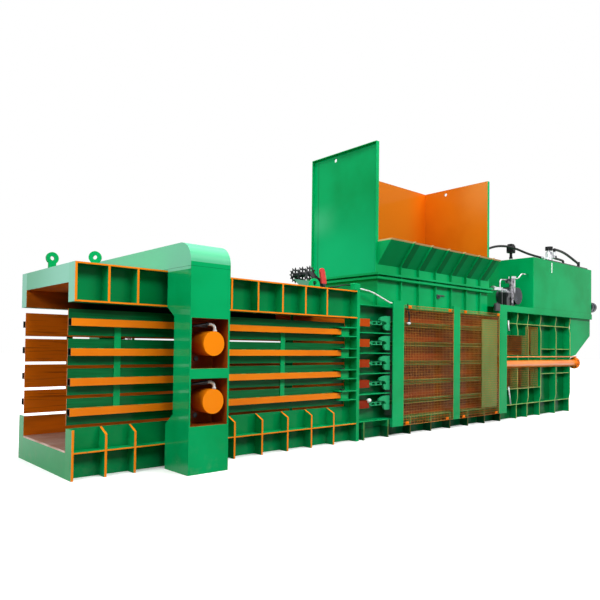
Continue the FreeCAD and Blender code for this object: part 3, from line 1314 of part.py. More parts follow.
def make_wheel_bracket():
    """Two round-topped cheeks beside the slot that carry the fork's shaft, each on its foot."""
    solids = []
    reach = WHEEL_HALF + FORK_GAP + FORK_T + CHEEK_GAP
    for side in (-1, 1):
        inner = WHEEL_Y + side * reach
        y = min(inner, inner + side * FORK_T)
        sole = inner + side * CHEEK_FOOT
        cheek = join([slab([(PIVOT_X - CHEEK_FOOT, FRAME_H), (PIVOT_X + CHEEK_FOOT, FRAME_H),
                            (PIVOT_X + BEARING_R, PIVOT_Z), (PIVOT_X - BEARING_R, PIVOT_Z)], "y", y, FORK_T),
                      rod("y", y, y + FORK_T, PIVOT_X, PIVOT_Z, BEARING_R),
                      block(PIVOT_X - CHEEK_FOOT, PIVOT_X + CHEEK_FOOT, min(inner, sole), max(inner, sole),
                            FRAME_H, FRAME_H + CHEEK_FOOT_T)])
        solids.append(cheek.cut(rod("y", y - 1, y + FORK_T + 1, PIVOT_X, PIVOT_Z, SHAFT_R + PIN_FIT)))
    return group(solids)


def make_junction_box():
    base = FRAME_H + PORTAL_RISE
    box = block(BOX_X[0], BOX_X[1], -OUT_Y + BOX_IN, -OUT_Y + BOX_IN + BOX_D, base, base + BOX_H)
    return box.makeFillet(BOX_R, [e for e in box.Edges if e.BoundBox.ZMin > base + 1])


def make_conduit():
    """Stiff conduit from the box over the open bay to the head of the first post."""
    x, y, z = BOX_X[1], -OUT_Y + 2 * BOX_IN, FRAME_H + 2 * BOX_IN
    dx, dy, dz = CONDUIT
    route = [(x, y, z), (x + CONDUIT_END, y, z), (x + dx, y + dy, FRAME_H + dz)]
    x, y, z = BODY_X + POSTS[0][0], -OUT_Y - BOX_IN, TANK_Z - BEAM_H - 2 * BOX_IN
    route += [(x - CONDUIT_END, y, z), (x, y, z)]
    return bent_tube(route, CONDUIT_R, "conduit")


def make_sensors():
    """Photo sensor on the hopper's neck, and the lamp that hangs outside the guard's corner."""
    x, z = HOP_X + SENSOR[0], FRAME_H + SENSOR[1]
    y = -HOP_HALF - 24.0
    sensor = join([block(x - 34.0, x + 34.0, y, -HOP_HALF, z - 26.0, z + 26.0),
                   block(x + 34.0, x + SENSOR_ARM, y + 10.0, -HOP_HALF, z + 10.0, z + 24.0),
                   rod("y", y - 12.0, y, x + 14.0, z, 15.0)])
    lx, ly, lz = cable_line()[-1]
    lamp = join([rod("z", lz - 34.0, lz, lx, ly, 15.0),
                 Part.makeSphere(20.0, V(lx, ly, lz - 52.0)),
                 block(lx - 12.0, lx + 12.0, ly, -GUARD_Y + 3.0, lz - 60.0, lz - 40.0)])
    return group([sensor, lamp])


def save(name, shape):
    """Move the finished piece to the row's origin and write it."""
    placed = shape.copy()
    placed.translate(V(-OVERALL_L / 2, 0, 0))
    placed.exportStep("parts/" + name + ".step")


def build():
    base_side = make_base_side()
    rods, panels, tubes = make_press_rods(), make_door_panels(), make_door_tubes()
    return {
        "base_bed": make_bed(), "floor_plate": make_floor(), "near_base_side": base_side,
        "far_base_side": mirrored(base_side), "channel_roof": make_channel_roof(),
        "near_top_side": make_near_top_side(), "far_top_side": mirrored(make_top_side()),
        "portal_frame": make_portal(),
        "lifting_eyes": make_eyes(), "tension_yoke": make_yoke(), "press_barrels": make_press_barrels(),
        "press_elbows": make_press_elbows(), "near_press_rods": rods, "far_press_rods": mirrored(rods),
        "near_door_panels": panels, "far_door_panels": mirrored(panels), "near_door_tubes": tubes,
        "far_door_tubes": mirrored(tubes), "hinge_lugs": make_hinge_lugs(),
        "hinge_pins": make_hinge_pins(), "near_body_side": make_body_side(),
        "near_rear_side": make_rear_side(), "far_body_side": make_far_body_side(),
        "body_roof": make_body_roof(), "rear_end_plate": make_end_plate(),
        "needle_blocks": make_needle_blocks(), "needle_chains": make_needle_chains(),
        "needle_guides": make_needle_guides(), "needle_rails": make_needle_rails(),
        "guard_posts": make_posts(), "mesh_guards": make_guards(), "needle_carriage": make_carriage(),
        "carriage_rod": make_carriage_rod(), "side_barrel": make_side_barrel(),
        "window_mesh": make_window_mesh(), "ram_platen": make_ram(), "ram_rod": make_ram_rod(),
        "main_barrel": make_main_barrel(), "hopper_left_panel": make_left_panel(),
        "hopper_right_panel": make_right_panel(), "hopper_far_panel": make_far_panel(),
        "hopper_lip": make_lip(), "hopper_neck": make_neck(), "oil_tank": make_tank(),
        "tank_support": make_tank_support(), "tank_trim": make_tank_trim(),
        "tank_fittings": make_tank_fittings(), "electric_motors": make_motors(), "pump_set": make_pump(),
        "pump_lever": make_pump_lever(), "measuring_wheel": make_wheel(),
        "wheel_arm": make_wheel_arm(), "wheel_bracket": make_wheel_bracket(),
        "junction_box": make_junction_box(), "sensors": make_sensors(),
        "conduit": make_conduit(), "hose_a": make_hose_a(),
        "hose_b": bent_tube(on_tank(HOSE_B), HOSE_R + 3.0, "hose b"),
        "guard_cable": bent_tube(cable_line(), CABLE_R, "guard cable"),
    }


os.makedirs("parts", exist_ok=True)
for node, solid in build().items():
    save(node, solid)
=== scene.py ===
import math
import bpy
from mathutils import Matrix, Vector


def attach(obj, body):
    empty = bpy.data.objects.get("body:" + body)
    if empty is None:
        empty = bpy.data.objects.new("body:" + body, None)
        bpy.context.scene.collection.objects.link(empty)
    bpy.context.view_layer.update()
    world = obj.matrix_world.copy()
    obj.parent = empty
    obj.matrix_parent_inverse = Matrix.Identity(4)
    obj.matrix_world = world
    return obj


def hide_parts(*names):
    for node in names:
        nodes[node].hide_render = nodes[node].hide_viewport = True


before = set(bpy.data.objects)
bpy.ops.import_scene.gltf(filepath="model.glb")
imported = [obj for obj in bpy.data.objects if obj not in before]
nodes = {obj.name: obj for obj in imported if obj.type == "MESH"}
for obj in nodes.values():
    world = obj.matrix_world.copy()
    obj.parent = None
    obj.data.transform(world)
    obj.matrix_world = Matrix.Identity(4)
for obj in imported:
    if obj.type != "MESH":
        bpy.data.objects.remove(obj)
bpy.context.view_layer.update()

scene = bpy.context.scene
CAMERA_SPOT = (-6.9643, -5.4926, 1.1154)


def aimed(spot, azimuth, pitch, roll):
    """Placing matrix of a camera or lamp that looks along azimuth, raised by pitch, in degrees."""
    a, p, r = (math.radians(angle) for angle in (azimuth, pitch, roll))
    ahead = Vector((-math.sin(a) * math.cos(p), math.cos(a) * math.cos(p), math.sin(p)))
    side = Vector((math.cos(a), math.sin(a), 0.0))
    above = side.cross(ahead)
    right = side * math.cos(r) + above * math.sin(r)
    up = above * math.cos(r) - side * math.sin(r)
    turn = Matrix((right, up, -ahead)).transposed()
    return Matrix.Translation(spot) @ turn.to_4x4()


lens = bpy.data.cameras.new("camera")
camera = bpy.data.objects.new("camera", lens)
scene.collection.objects.link(camera)
camera.matrix_world = aimed(CAMERA_SPOT, azimuth=-41.827, pitch=1.308, roll=0.731)
lens.sensor_width = 36.0
lens.lens = 35.58
lens.shift_y = 0.0557
lens.clip_end = 100.0
scene.camera = camera


# The two free hoses on the tank and the lamp's cable come next. They are smooth rubber hose, cut to
# length and pushed over their fittings, so each is one curve through its route. Shader maths is
# written with one wrapper round a socket, which this first finish needs.
class Sock:
    """A socket of a node tree, with the arithmetic that the materials use."""

    def __init__(self, tree, socket):
        self.tree = tree
        self.socket = socket

    def put(self, target, value):
        """Links a socket to an input, or sets a constant on it."""
        if isinstance(value, Sock):
            self.tree.links.new(value.socket, target)
        else:
            target.default_value = value

    def make(self, kind, inputs=(), out=0, **settings):
        """Any node: its settings, then its inputs by name or number, and one output."""
        node = self.tree.nodes.new(kind)
        for key, value in settings.items():
            setattr(node, key, value)
        for key, value in dict(inputs).items():
            self.put(node.inputs[key], value)
        return Sock(self.tree, node.outputs[out])

    def math(self, word, *others):
        """One maths node, with this as its first value."""
        return self.make("ShaderNodeMath", dict(enumerate((self,) + others)), operation=word)

    def __add__(self, other):
        return self.math("ADD", other)

    def __sub__(self, other):
        return self.math("SUBTRACT", other)

    def __mul__(self, other):
        return self.math("MULTIPLY", other)

    def __neg__(self):
        return self * -1.0

    def __rsub__(self, other):
        return -self + other

    __radd__ = __add__
    __rmul__ = __mul__

    def size(self):
        """The value without its sign."""
        return self.math("ABSOLUTE")

    def capped(self):
        """The value, but never more than 1."""
        return self.math("MINIMUM", 1.0)

    def over(self, limit):
        """1 where this is above a limit, else 0."""
        return self.math("GREATER_THAN", limit)

    def between(self, low, high):
        """1 between two limits, else 0."""
        return self.over(low) * (1.0 - self.over(high))

    def near(self, level, slack=0.0015):
        """1 within a small slack of a level, as on one face of a plate."""
        return self.between(level - slack, level + slack)

    def ramp(self, low, high):
        """0 to 1 between two values, smoothly."""
        return self.make("ShaderNodeMapRange", {0: self, 1: low, 2: high, 3: 0.0, 4: 1.0},
                         interpolation_type="SMOOTHSTEP", clamp=True)

    def stretch(self, factors):
        """The vector with its parts multiplied."""
        return self.make("ShaderNodeVectorMath", {0: self, 1: factors}, operation="MULTIPLY")

    def noise(self, scale, detail=3.0, rough=0.5):
        """Cloudy values round a half, with so many patches to a metre."""
        return self.make("ShaderNodeTexNoise", {"Vector": self, "Scale": scale, "Detail": detail,
                                                "Roughness": rough})

    def parts(self):
        """The x, y and z of a vector."""
        first = self.make("ShaderNodeSeparateXYZ", {0: self})
        return [Sock(self.tree, socket) for socket in first.socket.node.outputs]

    def mixed(self, a, b):
        """Colour a to colour b, with this as the share of b."""
        a, b = (value if isinstance(value, Sock) else (*value, 1.0) for value in (a, b))
        return self.make("ShaderNodeMix", {0: self, 6: a, 7: b}, out=2, data_type="RGBA")

    def relief(self, strength, depth):
        """A surface normal with this as its height, depth metres for a whole 1."""
        return self.make("ShaderNodeBump", {"Strength": strength, "Distance": depth,
                                            "Height": self})


def material(name, build):
    """A material whose build function gets the rest-pose place and facing, and returns the
    varying inputs and the constant ones."""
    made = bpy.data.materials.new(name)
    made.use_nodes = True
    surface = made.node_tree.nodes["Principled BSDF"]
    place = Sock(made.node_tree, None).make("ShaderNodeTexCoord", out="Object")
    facing = place.make("ShaderNodeTexCoord", out="Normal")
    for key, value in build(place, facing).items():
        place.put(surface.inputs[key], value)
    return made


def finish(paint, *names):
    """Gives nodes of the construction model their material."""
    for name in names:
        mesh = nodes[name].data
        mesh.materials.clear()
        mesh.materials.append(paint)


HALF_L = 5.12
HOSE_A = [(6560, -345, 1795), (6560, -345, 2060), (6566, -346, 2320), (6604, -347, 2540),
          (6720, -350, 2700), (6900, -358, 2778), (7125, -375, 2832), (7349, -405, 2850),
          (7535, -430, 2840), (7693, -458, 2814), (7835, -500, 2778), (7970, -560, 2746),
          (8060, -605, 2728), (8130, -605, 2728)]
HOSE_B = [(8645, -625, 2922), (8760, -625, 2922), (8890, -626, 2914), (9047, -628, 2894),
          (9233, -630, 2853), (9397, -633, 2810), (9557, -635, 2770)]
CABLE = [(4268, -736, 1690), (4268, -736, 1640), (4280, -736, 1590), (4300, -736, 1540),
         (4300, -736, 1490)]


def rubber(place, facing):
    """Black hose with dust in its fine moulding lines."""
    clean, dusty = (0.005, 0.005, 0.0055), (0.05, 0.05, 0.048)
    dust = place.noise(35.0, 4.0).math("POWER", 3.0)
    lines = place.noise(420.0, 2.0)
    return {"Base Color": (dust * 0.8).mixed(clean, dusty), "Roughness": dust * 0.3 + 0.34,
            "Normal": lines.relief(0.15, 0.002), "Specular IOR Level": 0.15}


hose_rubber = material("hose rubber", rubber)


def at(x, y, z):
    """A point given in millimetres from the exit end."""
    return (x / 1000 - HALF_L, y / 1000, z / 1000)


def laid_cord(name, points, diameter, node):
    """A free cord on its route: a smooth curve through the construction model's points."""
    curve = bpy.data.curves.new(name, "CURVE")
    curve.dimensions = "3D"
    curve.bevel_depth = diameter / 2
    curve.bevel_resolution = 5
    curve.resolution_u = 10
    curve.use_fill_caps = True
    line = curve.splines.new("NURBS")
    line.points.add(len(points) - 1)
    spots = [at(*point) for point in points]
    for control, spot in zip(line.points, spots):
        control.co = (*spot, 1.0)
    line.order_u = 3
    line.use_endpoint_u = True
    obj = bpy.data.objects.new(name, curve)
    scene.collection.objects.link(obj)
    curve.materials.append(hose_rubber)
    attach(obj, "frame")
    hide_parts(node)


laid_cord("suction_hose", HOSE_A, 0.038, "hose_a")
laid_cord("return_hose", HOSE_B, 0.044, "hose_b")
laid_cord("lamp_cable", CABLE, 0.014, "guard_cable")
finish(hose_rubber, "hose_a", "hose_b", "guard_cable")


# Bed and bale channel: floor plate, lower and upper side frames, and the roof, all welded plate in
# gloss green enamel. The outer edges of the ribs and flanges are picked out in orange by hand, and
# the chamber's inside is brown-orange. Rust shows only on the rubbed floor plate.
GREEN = (0.0010, 0.400, 0.122)
DEEP_GREEN = (0.0005, 0.285, 0.075)
# The next two greens are painted sheen, for the faces towards the exit.
PALE_SHEEN_GREEN = (0.10, 0.44, 0.18)
EXIT_SHEEN_GREEN = (0.34, 0.74, 0.58)
# The next three greens are painted shade: between the ribs, deep in the chamber, and under the
# ledges.
RECESS_SHADE_GREEN = (0.0003, 0.150, 0.035)
DEEP_SHADE_GREEN = (0.002, 0.016, 0.006)
UNDERSIDE_SHADE_GREEN = (0.0, 0.035, 0.012)
ORANGE = (0.92, 0.235, 0.006)
DEEP_ORANGE = (0.72, 0.155, 0.004)
BROWN = (0.42, 0.095, 0.006)
DUST = (0.26, 0.23, 0.17)
# Distances of the frame's faces from the middle plane, its levels, and where its exit end is.
INNER = 0.540
SKIN = 0.556
OUTER = 0.675
FLOOR_TOP = 0.230
CEILING = 1.630
FRAME_TOP = 1.795
EXIT = -5.120


def enamel(base, deep, extra=None, rough=0.14, coat=0.015, gloss=0.05, polish=0.0):
    """Build function of a gloss paint; extra repaints parts of it by place and facing, and polish
    is the clear coat on the faces towards the exit."""
    def build(place, facing):
        height = place.parts()[2]
        under = (-facing.parts()[2]).over(0.5)
        cloud = place.noise(1.3, 4.0)
        colour = cloud.ramp(0.3, 0.75).mixed(base, deep)
        if extra:
            colour = extra(place, facing, colour)
        splash = (1.0 - height.ramp(0.0, 0.35)) * place.noise(9.0, 5.0).ramp(0.5, 0.74)
        specks = place.noise(60.0, 3.0).ramp(0.68, 0.78)
        dirt = (splash * 0.10 + specks * 0.03).capped()
        peel = place.noise(240.0, 2.0) * 0.10 + place.noise(2.4, 2.0) * 1.2
        mirror = (-facing.parts()[0]).over(0.6) * polish
        return {"Base Color": dirt.mixed(colour, DUST),
                "Roughness": dirt * 0.5 + cloud * 0.08 + under * 0.5 + rough,
                "Normal": peel.relief(0.16, 0.004), "Specular IOR Level": gloss,
                "Coat Weight": (1.0 - under) * coat + mirror, "Coat Roughness": 0.04}
    return build


def on_channel(place, facing, colour):
    """Orange on the outer edges of ribs and flanges, brown-orange on the chamber's inside, painted
    shade between the ribs, high in the chamber and under the ledges, and a painted sheen on the
    exit face."""
    x, y, z = place.parts()
    nx, ny, nz = facing.parts()
    side = y.size()
    out = ny.size().over(0.6)
    wear = place.noise(14.0, 4.0).ramp(0.66, 0.74)
    edge = side.over(OUTER - 0.0015) * out * (1.0 - wear * 0.5)
    sloping = side.over(SKIN + 0.001) * ny.size().over(0.25) * nz.over(0.25)
    inside = (1.0 - side.over(INNER + 0.0015)) * out
    front = (1.0 - x.over(EXIT + 0.001)) * nx.size().over(0.9)
    # Painted shade on the skin between the ribs.
    colour = (side.near(SKIN) * out * 0.55).mixed(colour, RECESS_SHADE_GREEN)
    smear = place.stretch((0.5, 1.0, 3.0)).noise(3.0, 4.0).ramp(0.3, 0.7)
    colour = inside.mixed(colour, smear.mixed(DEEP_ORANGE, BROWN))
    # Painted shade high on the chamber's inside walls, deeper in from the exit.
    chamber_shade = inside * z.over(1.40) * x.ramp(-4.95, -4.5) * (1.0 - x.over(-2.0))
    colour = chamber_shade.mixed(colour, DEEP_SHADE_GREEN)
    colour = (edge + sloping).capped().mixed(colour, ORANGE)
    # Painted shade under the ledges.
    under = (-nz).over(0.6) * side.over(SKIN + 0.001) * z.over(1.3)
    colour = (under * 0.8).mixed(colour, UNDERSIDE_SHADE_GREEN)
    # Painted sheen on the exit face, paler higher up.
    exit_sheen = z.ramp(0.8, 1.5).mixed(PALE_SHEEN_GREEN, EXIT_SHEEN_GREEN)
    return (front * z.ramp(0.5, 1.5) * 0.45 + front * 0.4).mixed(colour, exit_sheen)


def on_roof(place, facing, colour):
    """Brown-orange underside with painted shade deeper in, painted sheen on the front edge, and the
    bare grey-green plate beside the slot.
    """
    x, y, z = place.parts()
    nx, _, nz = facing.parts()
    under = (-nz).over(0.6) * (1.0 - z.over(CEILING + 0.0005))
    front = (1.0 - x.over(EXIT + 0.001)) * (-nx).over(0.9)
    smear = place.noise(2.0, 4.0).ramp(0.3, 0.7)
    colour = under.mixed(colour, smear.mixed(DEEP_ORANGE, BROWN))
    # Painted shade on the underside, deeper in from the exit.
    colour = (under * x.ramp(-4.95, -4.5)).mixed(colour, DEEP_SHADE_GREEN)
    colour = z.over(FRAME_TOP + 0.0015).mixed(colour, (0.10, 0.24, 0.18))
    # Painted sheen on the exit face, stronger on the near side.
    return (front * (0.92 - y.ramp(-0.5, 0.6) * 0.45)).mixed(colour, EXIT_SHEEN_GREEN)


def on_bed(place, facing, colour):
    """Painted sheen on the face at the exit end."""
    front = (1.0 - place.parts()[0].over(EXIT + 0.0005)) * (-facing.parts()[0]).over(0.9)
    return (front * 0.3).mixed(colour, PALE_SHEEN_GREEN)


def worn_plate(place, facing):
    """Bare floor plate with long rub marks and rust."""
    dull, bright, red_rust = (0.36, 0.25, 0.19), (0.58, 0.47, 0.41), (0.30, 0.10, 0.03)
    streaks = place.stretch((0.35, 14.0, 1.0)).noise(5.0, 5.0)
    rust = place.noise(3.5, 6.0, 0.65).ramp(0.42, 0.66)
    colour = (rust * 0.7).mixed(streaks.ramp(0.35, 0.7).mixed(dull, bright), red_rust)
    return {"Base Color": colour, "Metallic": 0.7 - rust * 0.5,
            "Normal": streaks.relief(0.2, 0.002), "Roughness": streaks * 0.3 + 0.3}


green = material("green enamel", enamel(GREEN, DEEP_GREEN))
ribbed = material("green enamel, ribs", enamel(GREEN, DEEP_GREEN, on_channel))
roof_paint = material("green enamel, roof", enamel(GREEN, DEEP_GREEN, on_roof))
finish(ribbed, "near_base_side", "far_base_side", "near_top_side", "far_top_side")
finish(roof_paint, "channel_roof", "body_roof")
finish(material("green enamel, bed", enamel(GREEN, DEEP_GREEN, on_bed)), "base_bed")
finish(material("worn plate", worn_plate), "floor_plate")


# Weld beads: each rib of the channel is stitched to the skin with short runs of weld, painted over.
# They are rows of low ripples along the rib roots, on both sides of the machine.
class Build:
    """Gathers solids into one mesh, in metres."""

    def __init__(self):
        self.points = []
        self.faces = []

    def add(self, points, faces):
        """One solid, by its points and the faces between them."""
        start = len(self.points)
        self.points += [tuple(p) for p in points]
        self.faces += [tuple(i + start for i in face) for face in faces]

    def slab(self, low, high):
        """Box between two corners."""
        (x0, y0, z0), (x1, y1, z1) = low, high
        self.add([(x, y, z) for x in (x0, x1) for y in (y0, y1) for z in (z0, z1)],
                 [(0, 1, 3, 2), (4, 6, 7, 5), (0, 4, 5, 1), (2, 3, 7, 6), (0, 2, 6, 4),
                  (1, 5, 7, 3)])

    def rings(self, points, sides):
        """Skin over rings of so many points each, closed at both ends."""
        last = len(points) // sides - 1
        faces = []
        for start in range(0, last * sides, sides):
            for i in range(sides):
                j = (i + 1) % sides
                faces.append((start + i, start + j, start + sides + j, start + sides + i))
        faces.append(tuple(reversed(range(sides))))
        faces.append(tuple(last * sides + i for i in range(sides)))
        self.add(points, faces)

    def turned(self, profile, centre, axis, sides=16):
        """Solid of revolution; profile is (distance along the axis, radius) pairs."""
        way = Vector(axis).normalized()
        one = way.orthogonal().normalized()
        two = way.cross(one)
        turns = [2 * math.pi * i / sides for i in range(sides)]
        self.rings([Vector(centre) + way * along + (one * math.cos(t) + two * math.sin(t)) * radius
                    for along, radius in profile for t in turns], sides)

    def bolt(self, spot, axis, size):
        """Hex head on a washer, with a chamfered top."""
        washer = size * 0.18
        self.turned([(0.0, size * 1.15), (washer, size * 1.15)], spot, axis, sides=14)
        base = Vector(spot) + Vector(axis).normalized() * washer
        head = [(0.0, size * 0.9), (size * 0.45, size * 0.9), (size * 0.6, size * 0.72)]
        self.turned(head, base, axis, sides=6)

    def tube(self, points, radius, sides=8):
        """Round bar along points, with mitred corners."""
        spots = [Vector(p) for p in points]
        ways = [(b - a).normalized() for a, b in zip(spots, spots[1:])]
        turns = [2 * math.pi * i / sides for i in range(sides)]
        one = ways[0].orthogonal().normalized()
        around = []
        for i, spot in enumerate(spots):
            before = ways[max(i - 1, 0)]
            after = ways[min(i, len(ways) - 1)]
            way = (before + after).normalized()
            one = (one - way * one.dot(way)).normalized()
            two = way.cross(one)
            reach = radius / max(before.dot(way), 0.5)
            around += [spot + (one * math.cos(t) + two * math.sin(t)) * reach for t in turns]
        self.rings(around, sides)

    def done(self, name, paint, body="frame", smooth=False, covers=()):
        """The object, riding on its body."""
        mesh = bpy.data.meshes.new(name)
        mesh.from_pydata(self.points, [], self.faces)
        mesh.update()
        mesh.materials.append(paint)
        if smooth:
            mesh.shade_smooth()
        obj = bpy.data.objects.new(name, mesh)
        scene.collection.objects.link(obj)
        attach(obj, body)
        if covers:
            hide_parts(*covers)


def bead(build, start, end, size):
    """One run of weld between two points: a ridge with ripples."""
    run = Vector(end) - Vector(start)
    count = max(int(run.length / (size * 2.2)), 3)
    ripples = [(run.length * i / count, size * (1.0 if i % 2 else 0.72)) for i in range(1, count)]
    profile = [(0.0, size * 0.2)] + ripples + [(run.length, size * 0.2)]
    build.turned(profile, start, run, sides=6)


def stitches(build, x, y, z0, z1):
    """Runs of weld up one edge of a rib."""
    size, run, gap = 0.004, 45, 55
    z = z0 + 12
    while z + run < z1:
        bead(build, at(x, y, z), at(x, y, z + run), size)
        z += run + gap


RIB_T = 20
RIB_ROOT = 557
FRONT_RIBS = [282, 547]
TOP_RIBS = FRONT_RIBS + [1549 + 330 * i for i in range(5)]
LOW_RIBS = FRONT_RIBS + [1607 + 347 * i for i in range(5)]
welds = Build()
for way in (-1, 1):
    for x in TOP_RIBS:
        for edge in (x, x + RIB_T):
            stitches(welds, edge, way * RIB_ROOT, 1492, 1781)
    for x in LOW_RIBS:
        for edge in (x, x + RIB_T):
            stitches(welds, edge, way * RIB_ROOT, 8, 205)
            stitches(welds, edge, way * RIB_ROOT, 238, 400)
welds.done("channel_weld_beads", green)


# Portal ring between channel and press body, with the terminal box on it, and the two lifting eyes
# on the roof. The ring is plate, the eyes are flame-cut and welded on, all in the same green.
EYE_WELD_Z = 1797
EYES = ((345, -243, -38), (85, 107, 0))


def weld_ring(build, x, y, turn):
    """Weld round the foot of an eye: 46 mm to each end, 15 mm to each side."""
    spots = []
    for i in range(17):
        a = 2 * math.pi * i / 16
        u, v = math.cos(a) * 46, math.sin(a) * 15
        spots.append(at(x + u * math.cos(turn) - v * math.sin(turn),
                        y + u * math.sin(turn) + v * math.cos(turn), EYE_WELD_Z))
    build.tube(spots, 0.005, sides=6)


eye_feet = Build()
for x, y, turn in EYES:
    weld_ring(eye_feet, x, y, math.radians(turn))
eye_feet.done("eye_foot_welds", green)
finish(green, "portal_frame", "lifting_eyes", "junction_box")

box_cover = Build()
box_cover.slab(at(3340, -663, 1812), at(3441, -659, 1880))
for x in (3348, 3433):
    for z in (1820, 1872):
        box_cover.bolt(at(x, -663, z), (0, -1, 0), 0.005)
box_cover.done("terminal_box_cover", green)


# Tension yoke: a bridge of thick plate over the channel that squeezes the bale. Its crown is rolled
# and butt-welded to the legs, and the cylinder windows are painted brown-orange inside.
WINDOWS = ((414, 829), (914, 1358))
WINDOW_X = (861, 1244)
LEG_Y = (820, 1070)


def on_yoke(place, facing, colour):
    """Brown-orange windows, a painted sky reflection on the crown and gable, and a dark seam under
    the crown and down the near corner."""
    x, y, z = place.parts()
    exitwards = (-facing.parts()[0]).over(0.9)
    front, back = (edge / 1000 - HALF_L for edge in WINDOW_X)
    inner, outer = (face / 1000 for face in LEG_Y)
    pocket = y.size().between(inner - 0.0015, outer + 0.0015) * x.between(front - 0.002,
                                                                          back + 0.002)
    low, high = (z.between(foot / 1000 - 0.0005, head / 1000 + 0.0005) for foot, head in WINDOWS)
    gable = z.over(1.78) * exitwards
    crown = z.over(1.8455) * (1.0 - exitwards)
    seam = z.near(1.807)
    corner = exitwards * (1.0 - y.over(0.0015 - outer)) * z.between(0.0, 1.85)
    bleed = place.noise(3.0, 4.0).ramp(0.35, 0.7).mixed((0.36, 0.075, 0.006), (0.22, 0.04, 0.004))
    # Painted sky reflection on the gable and the rolled crown.
    colour = (gable * 0.74 + crown * 0.45).mixed(colour, (0.24, 0.68, 0.47))
    colour = (pocket * (low + high)).mixed(colour, bleed)
    return (seam * 0.8 + corner * 0.6).capped().mixed(colour, (0.0, 0.06, 0.02))


yoke_paint = enamel(GREEN, DEEP_GREEN, on_yoke, rough=0.2, coat=0.0, polish=0.3)
finish(material("green enamel, yoke", yoke_paint), "tension_yoke")
rims = Build()
for way in (-1, 1):
    for foot, head in WINDOWS:
        front, back = WINDOW_X
        y = way * LEG_Y[1]
        for a, b in (((front, foot), (back, foot)), ((front, head), (back, head)),
                     ((front, foot), (front, head)), ((back, foot), (back, head))):
            bead(rims, at(a[0], y, a[1]), at(b[0], y, b[1]), 0.0018)
rims.done("window_rim_welds", green)


# Press cylinders: orange barrels in the yoke's windows, chromed rods, and on each barrel a white
# nylon elbow with a black feed pipe that runs back into the leg, clamped to the window's side.
PRESS_LEVELS = (621.5, 1136)
ELBOW_X = 1146
BEND = 46


def chrome_build(place, facing):
    """Hard chrome with lines along the stroke and a film of oil."""
    lines = place.stretch((90.0, 6.0, 6.0)).noise(4.0, 2.0)
    film = place.noise(5.0, 4.0).ramp(0.45, 0.75)
    return {"Base Color": film.mixed((0.74, 0.75, 0.77), (0.58, 0.57, 0.54)), "Metallic": 1.0,
            "Roughness": film * 0.12 + 0.08, "Normal": lines.relief(0.05, 0.001)}


def pale_plastic(place, facing):
    """White nylon, a little soiled."""
    haze = place.noise(30.0, 4.0)
    soiled = haze.ramp(0.45, 0.7).mixed((0.78, 0.81, 0.79), (0.60, 0.64, 0.61))
    return {"Base Color": soiled, "Roughness": haze * 0.25 + 0.28}


def dark_steel_build(place, facing):
    """Black oxide steel, oily in patches, with bright chips."""
    oil = place.noise(11.0, 4.0).ramp(0.4, 0.7)
    chips = place.noise(70.0, 3.0).ramp(0.64, 0.72)
    colour = oil.mixed((0.020, 0.021, 0.024), (0.009, 0.009, 0.010))
    return {"Base Color": chips.mixed(colour, (0.13, 0.12, 0.11)), "Metallic": 0.3,
            "Roughness": oil * -0.2 + 0.48, "Normal": place.noise(300.0, 2.0).relief(0.25, 0.001),
            "Specular IOR Level": 0.4}


def on_barrels(place, facing, colour):
    """Painted shade towards the leg, where the barrel runs into the window."""
    return (1.0 - place.parts()[1].size().ramp(0.80, 1.02)).mixed(colour, (0.40, 0.07, 0.004))


orange = material("orange enamel", enamel(ORANGE, DEEP_ORANGE))
chrome = material("hard chrome", chrome_build)
white = material("white plastic", pale_plastic)
dark_steel = material("dark steel", dark_steel_build)
barrel_paint = enamel((1.0, 0.27, 0.004), (0.92, 0.225, 0.004), on_barrels, rough=0.2)
finish(material("orange enamel, barrels", barrel_paint), "press_barrels")
finish(chrome, "near_press_rods", "far_press_rods")
finish(white, "press_elbows")

elbows = Build()
feeds = Build()
clamps = Build()
for way in (-1, 1):
    for z in PRESS_LEVELS:
        top = z + 108
        y = way * 1000
        arc = [at(ELBOW_X - BEND * (1 - math.cos(a)), y, top + 18 + BEND * math.sin(a))
               for a in (math.pi / 2 * k / 7 for k in range(8))]
        elbows.tube([at(ELBOW_X, y, top - 4)] + arc + [at(1078, y, top + 63)], 0.014, sides=12)
        elbows.turned([(0.0, 0.020), (0.016, 0.020)], at(ELBOW_X, y, top - 2), (0, 0, 1), sides=6)
        feeds.tube([at(1082, y, top + 64), at(1040, way * 985, top + 62),
                    at(985, way * 950, top + 50), at(935, way * 900, top + 42),
                    at(905, way * 822, top + 40)], 0.012, sides=10)
        feeds.tube([at(1098, way * 960, top + 40), at(1020, way * 930, top + 46),
                    at(950, way * 822, top + 52)], 0.009)
        clamps.turned([(-0.009, 0.017), (-0.006, 0.020), (0.006, 0.020), (0.009, 0.017)],
                      at(1066, way * 996, top + 63), (1, 0, 0), sides=14)
        clamps.turned([(0.0, 0.024), (0.008, 0.022), (0.009, 0.012)],
                      at(1064, way * 820, z - 139), (0, way, 0), sides=20)
elbows.done("press_white_elbows", white, smooth=True, covers=["press_elbows"])
feeds.done("press_feed_pipes", dark_steel, smooth=True)
clamps.done("press_feed_clamps", dark_steel)


# Side doors: four long plates to a side, welded to two straps and hinged at the portal, with a
# square tube welded along each plate. They are green outside and rubbed brown-orange on the bale's
# side, and the tubes are orange.
DOOR_FACE = 0.550
TUBE_LEVELS = (552, 801, 1050, 1299)
TUBE_Y = 589
TUBE_HALF = 31
TUBE_BORE = 26.5


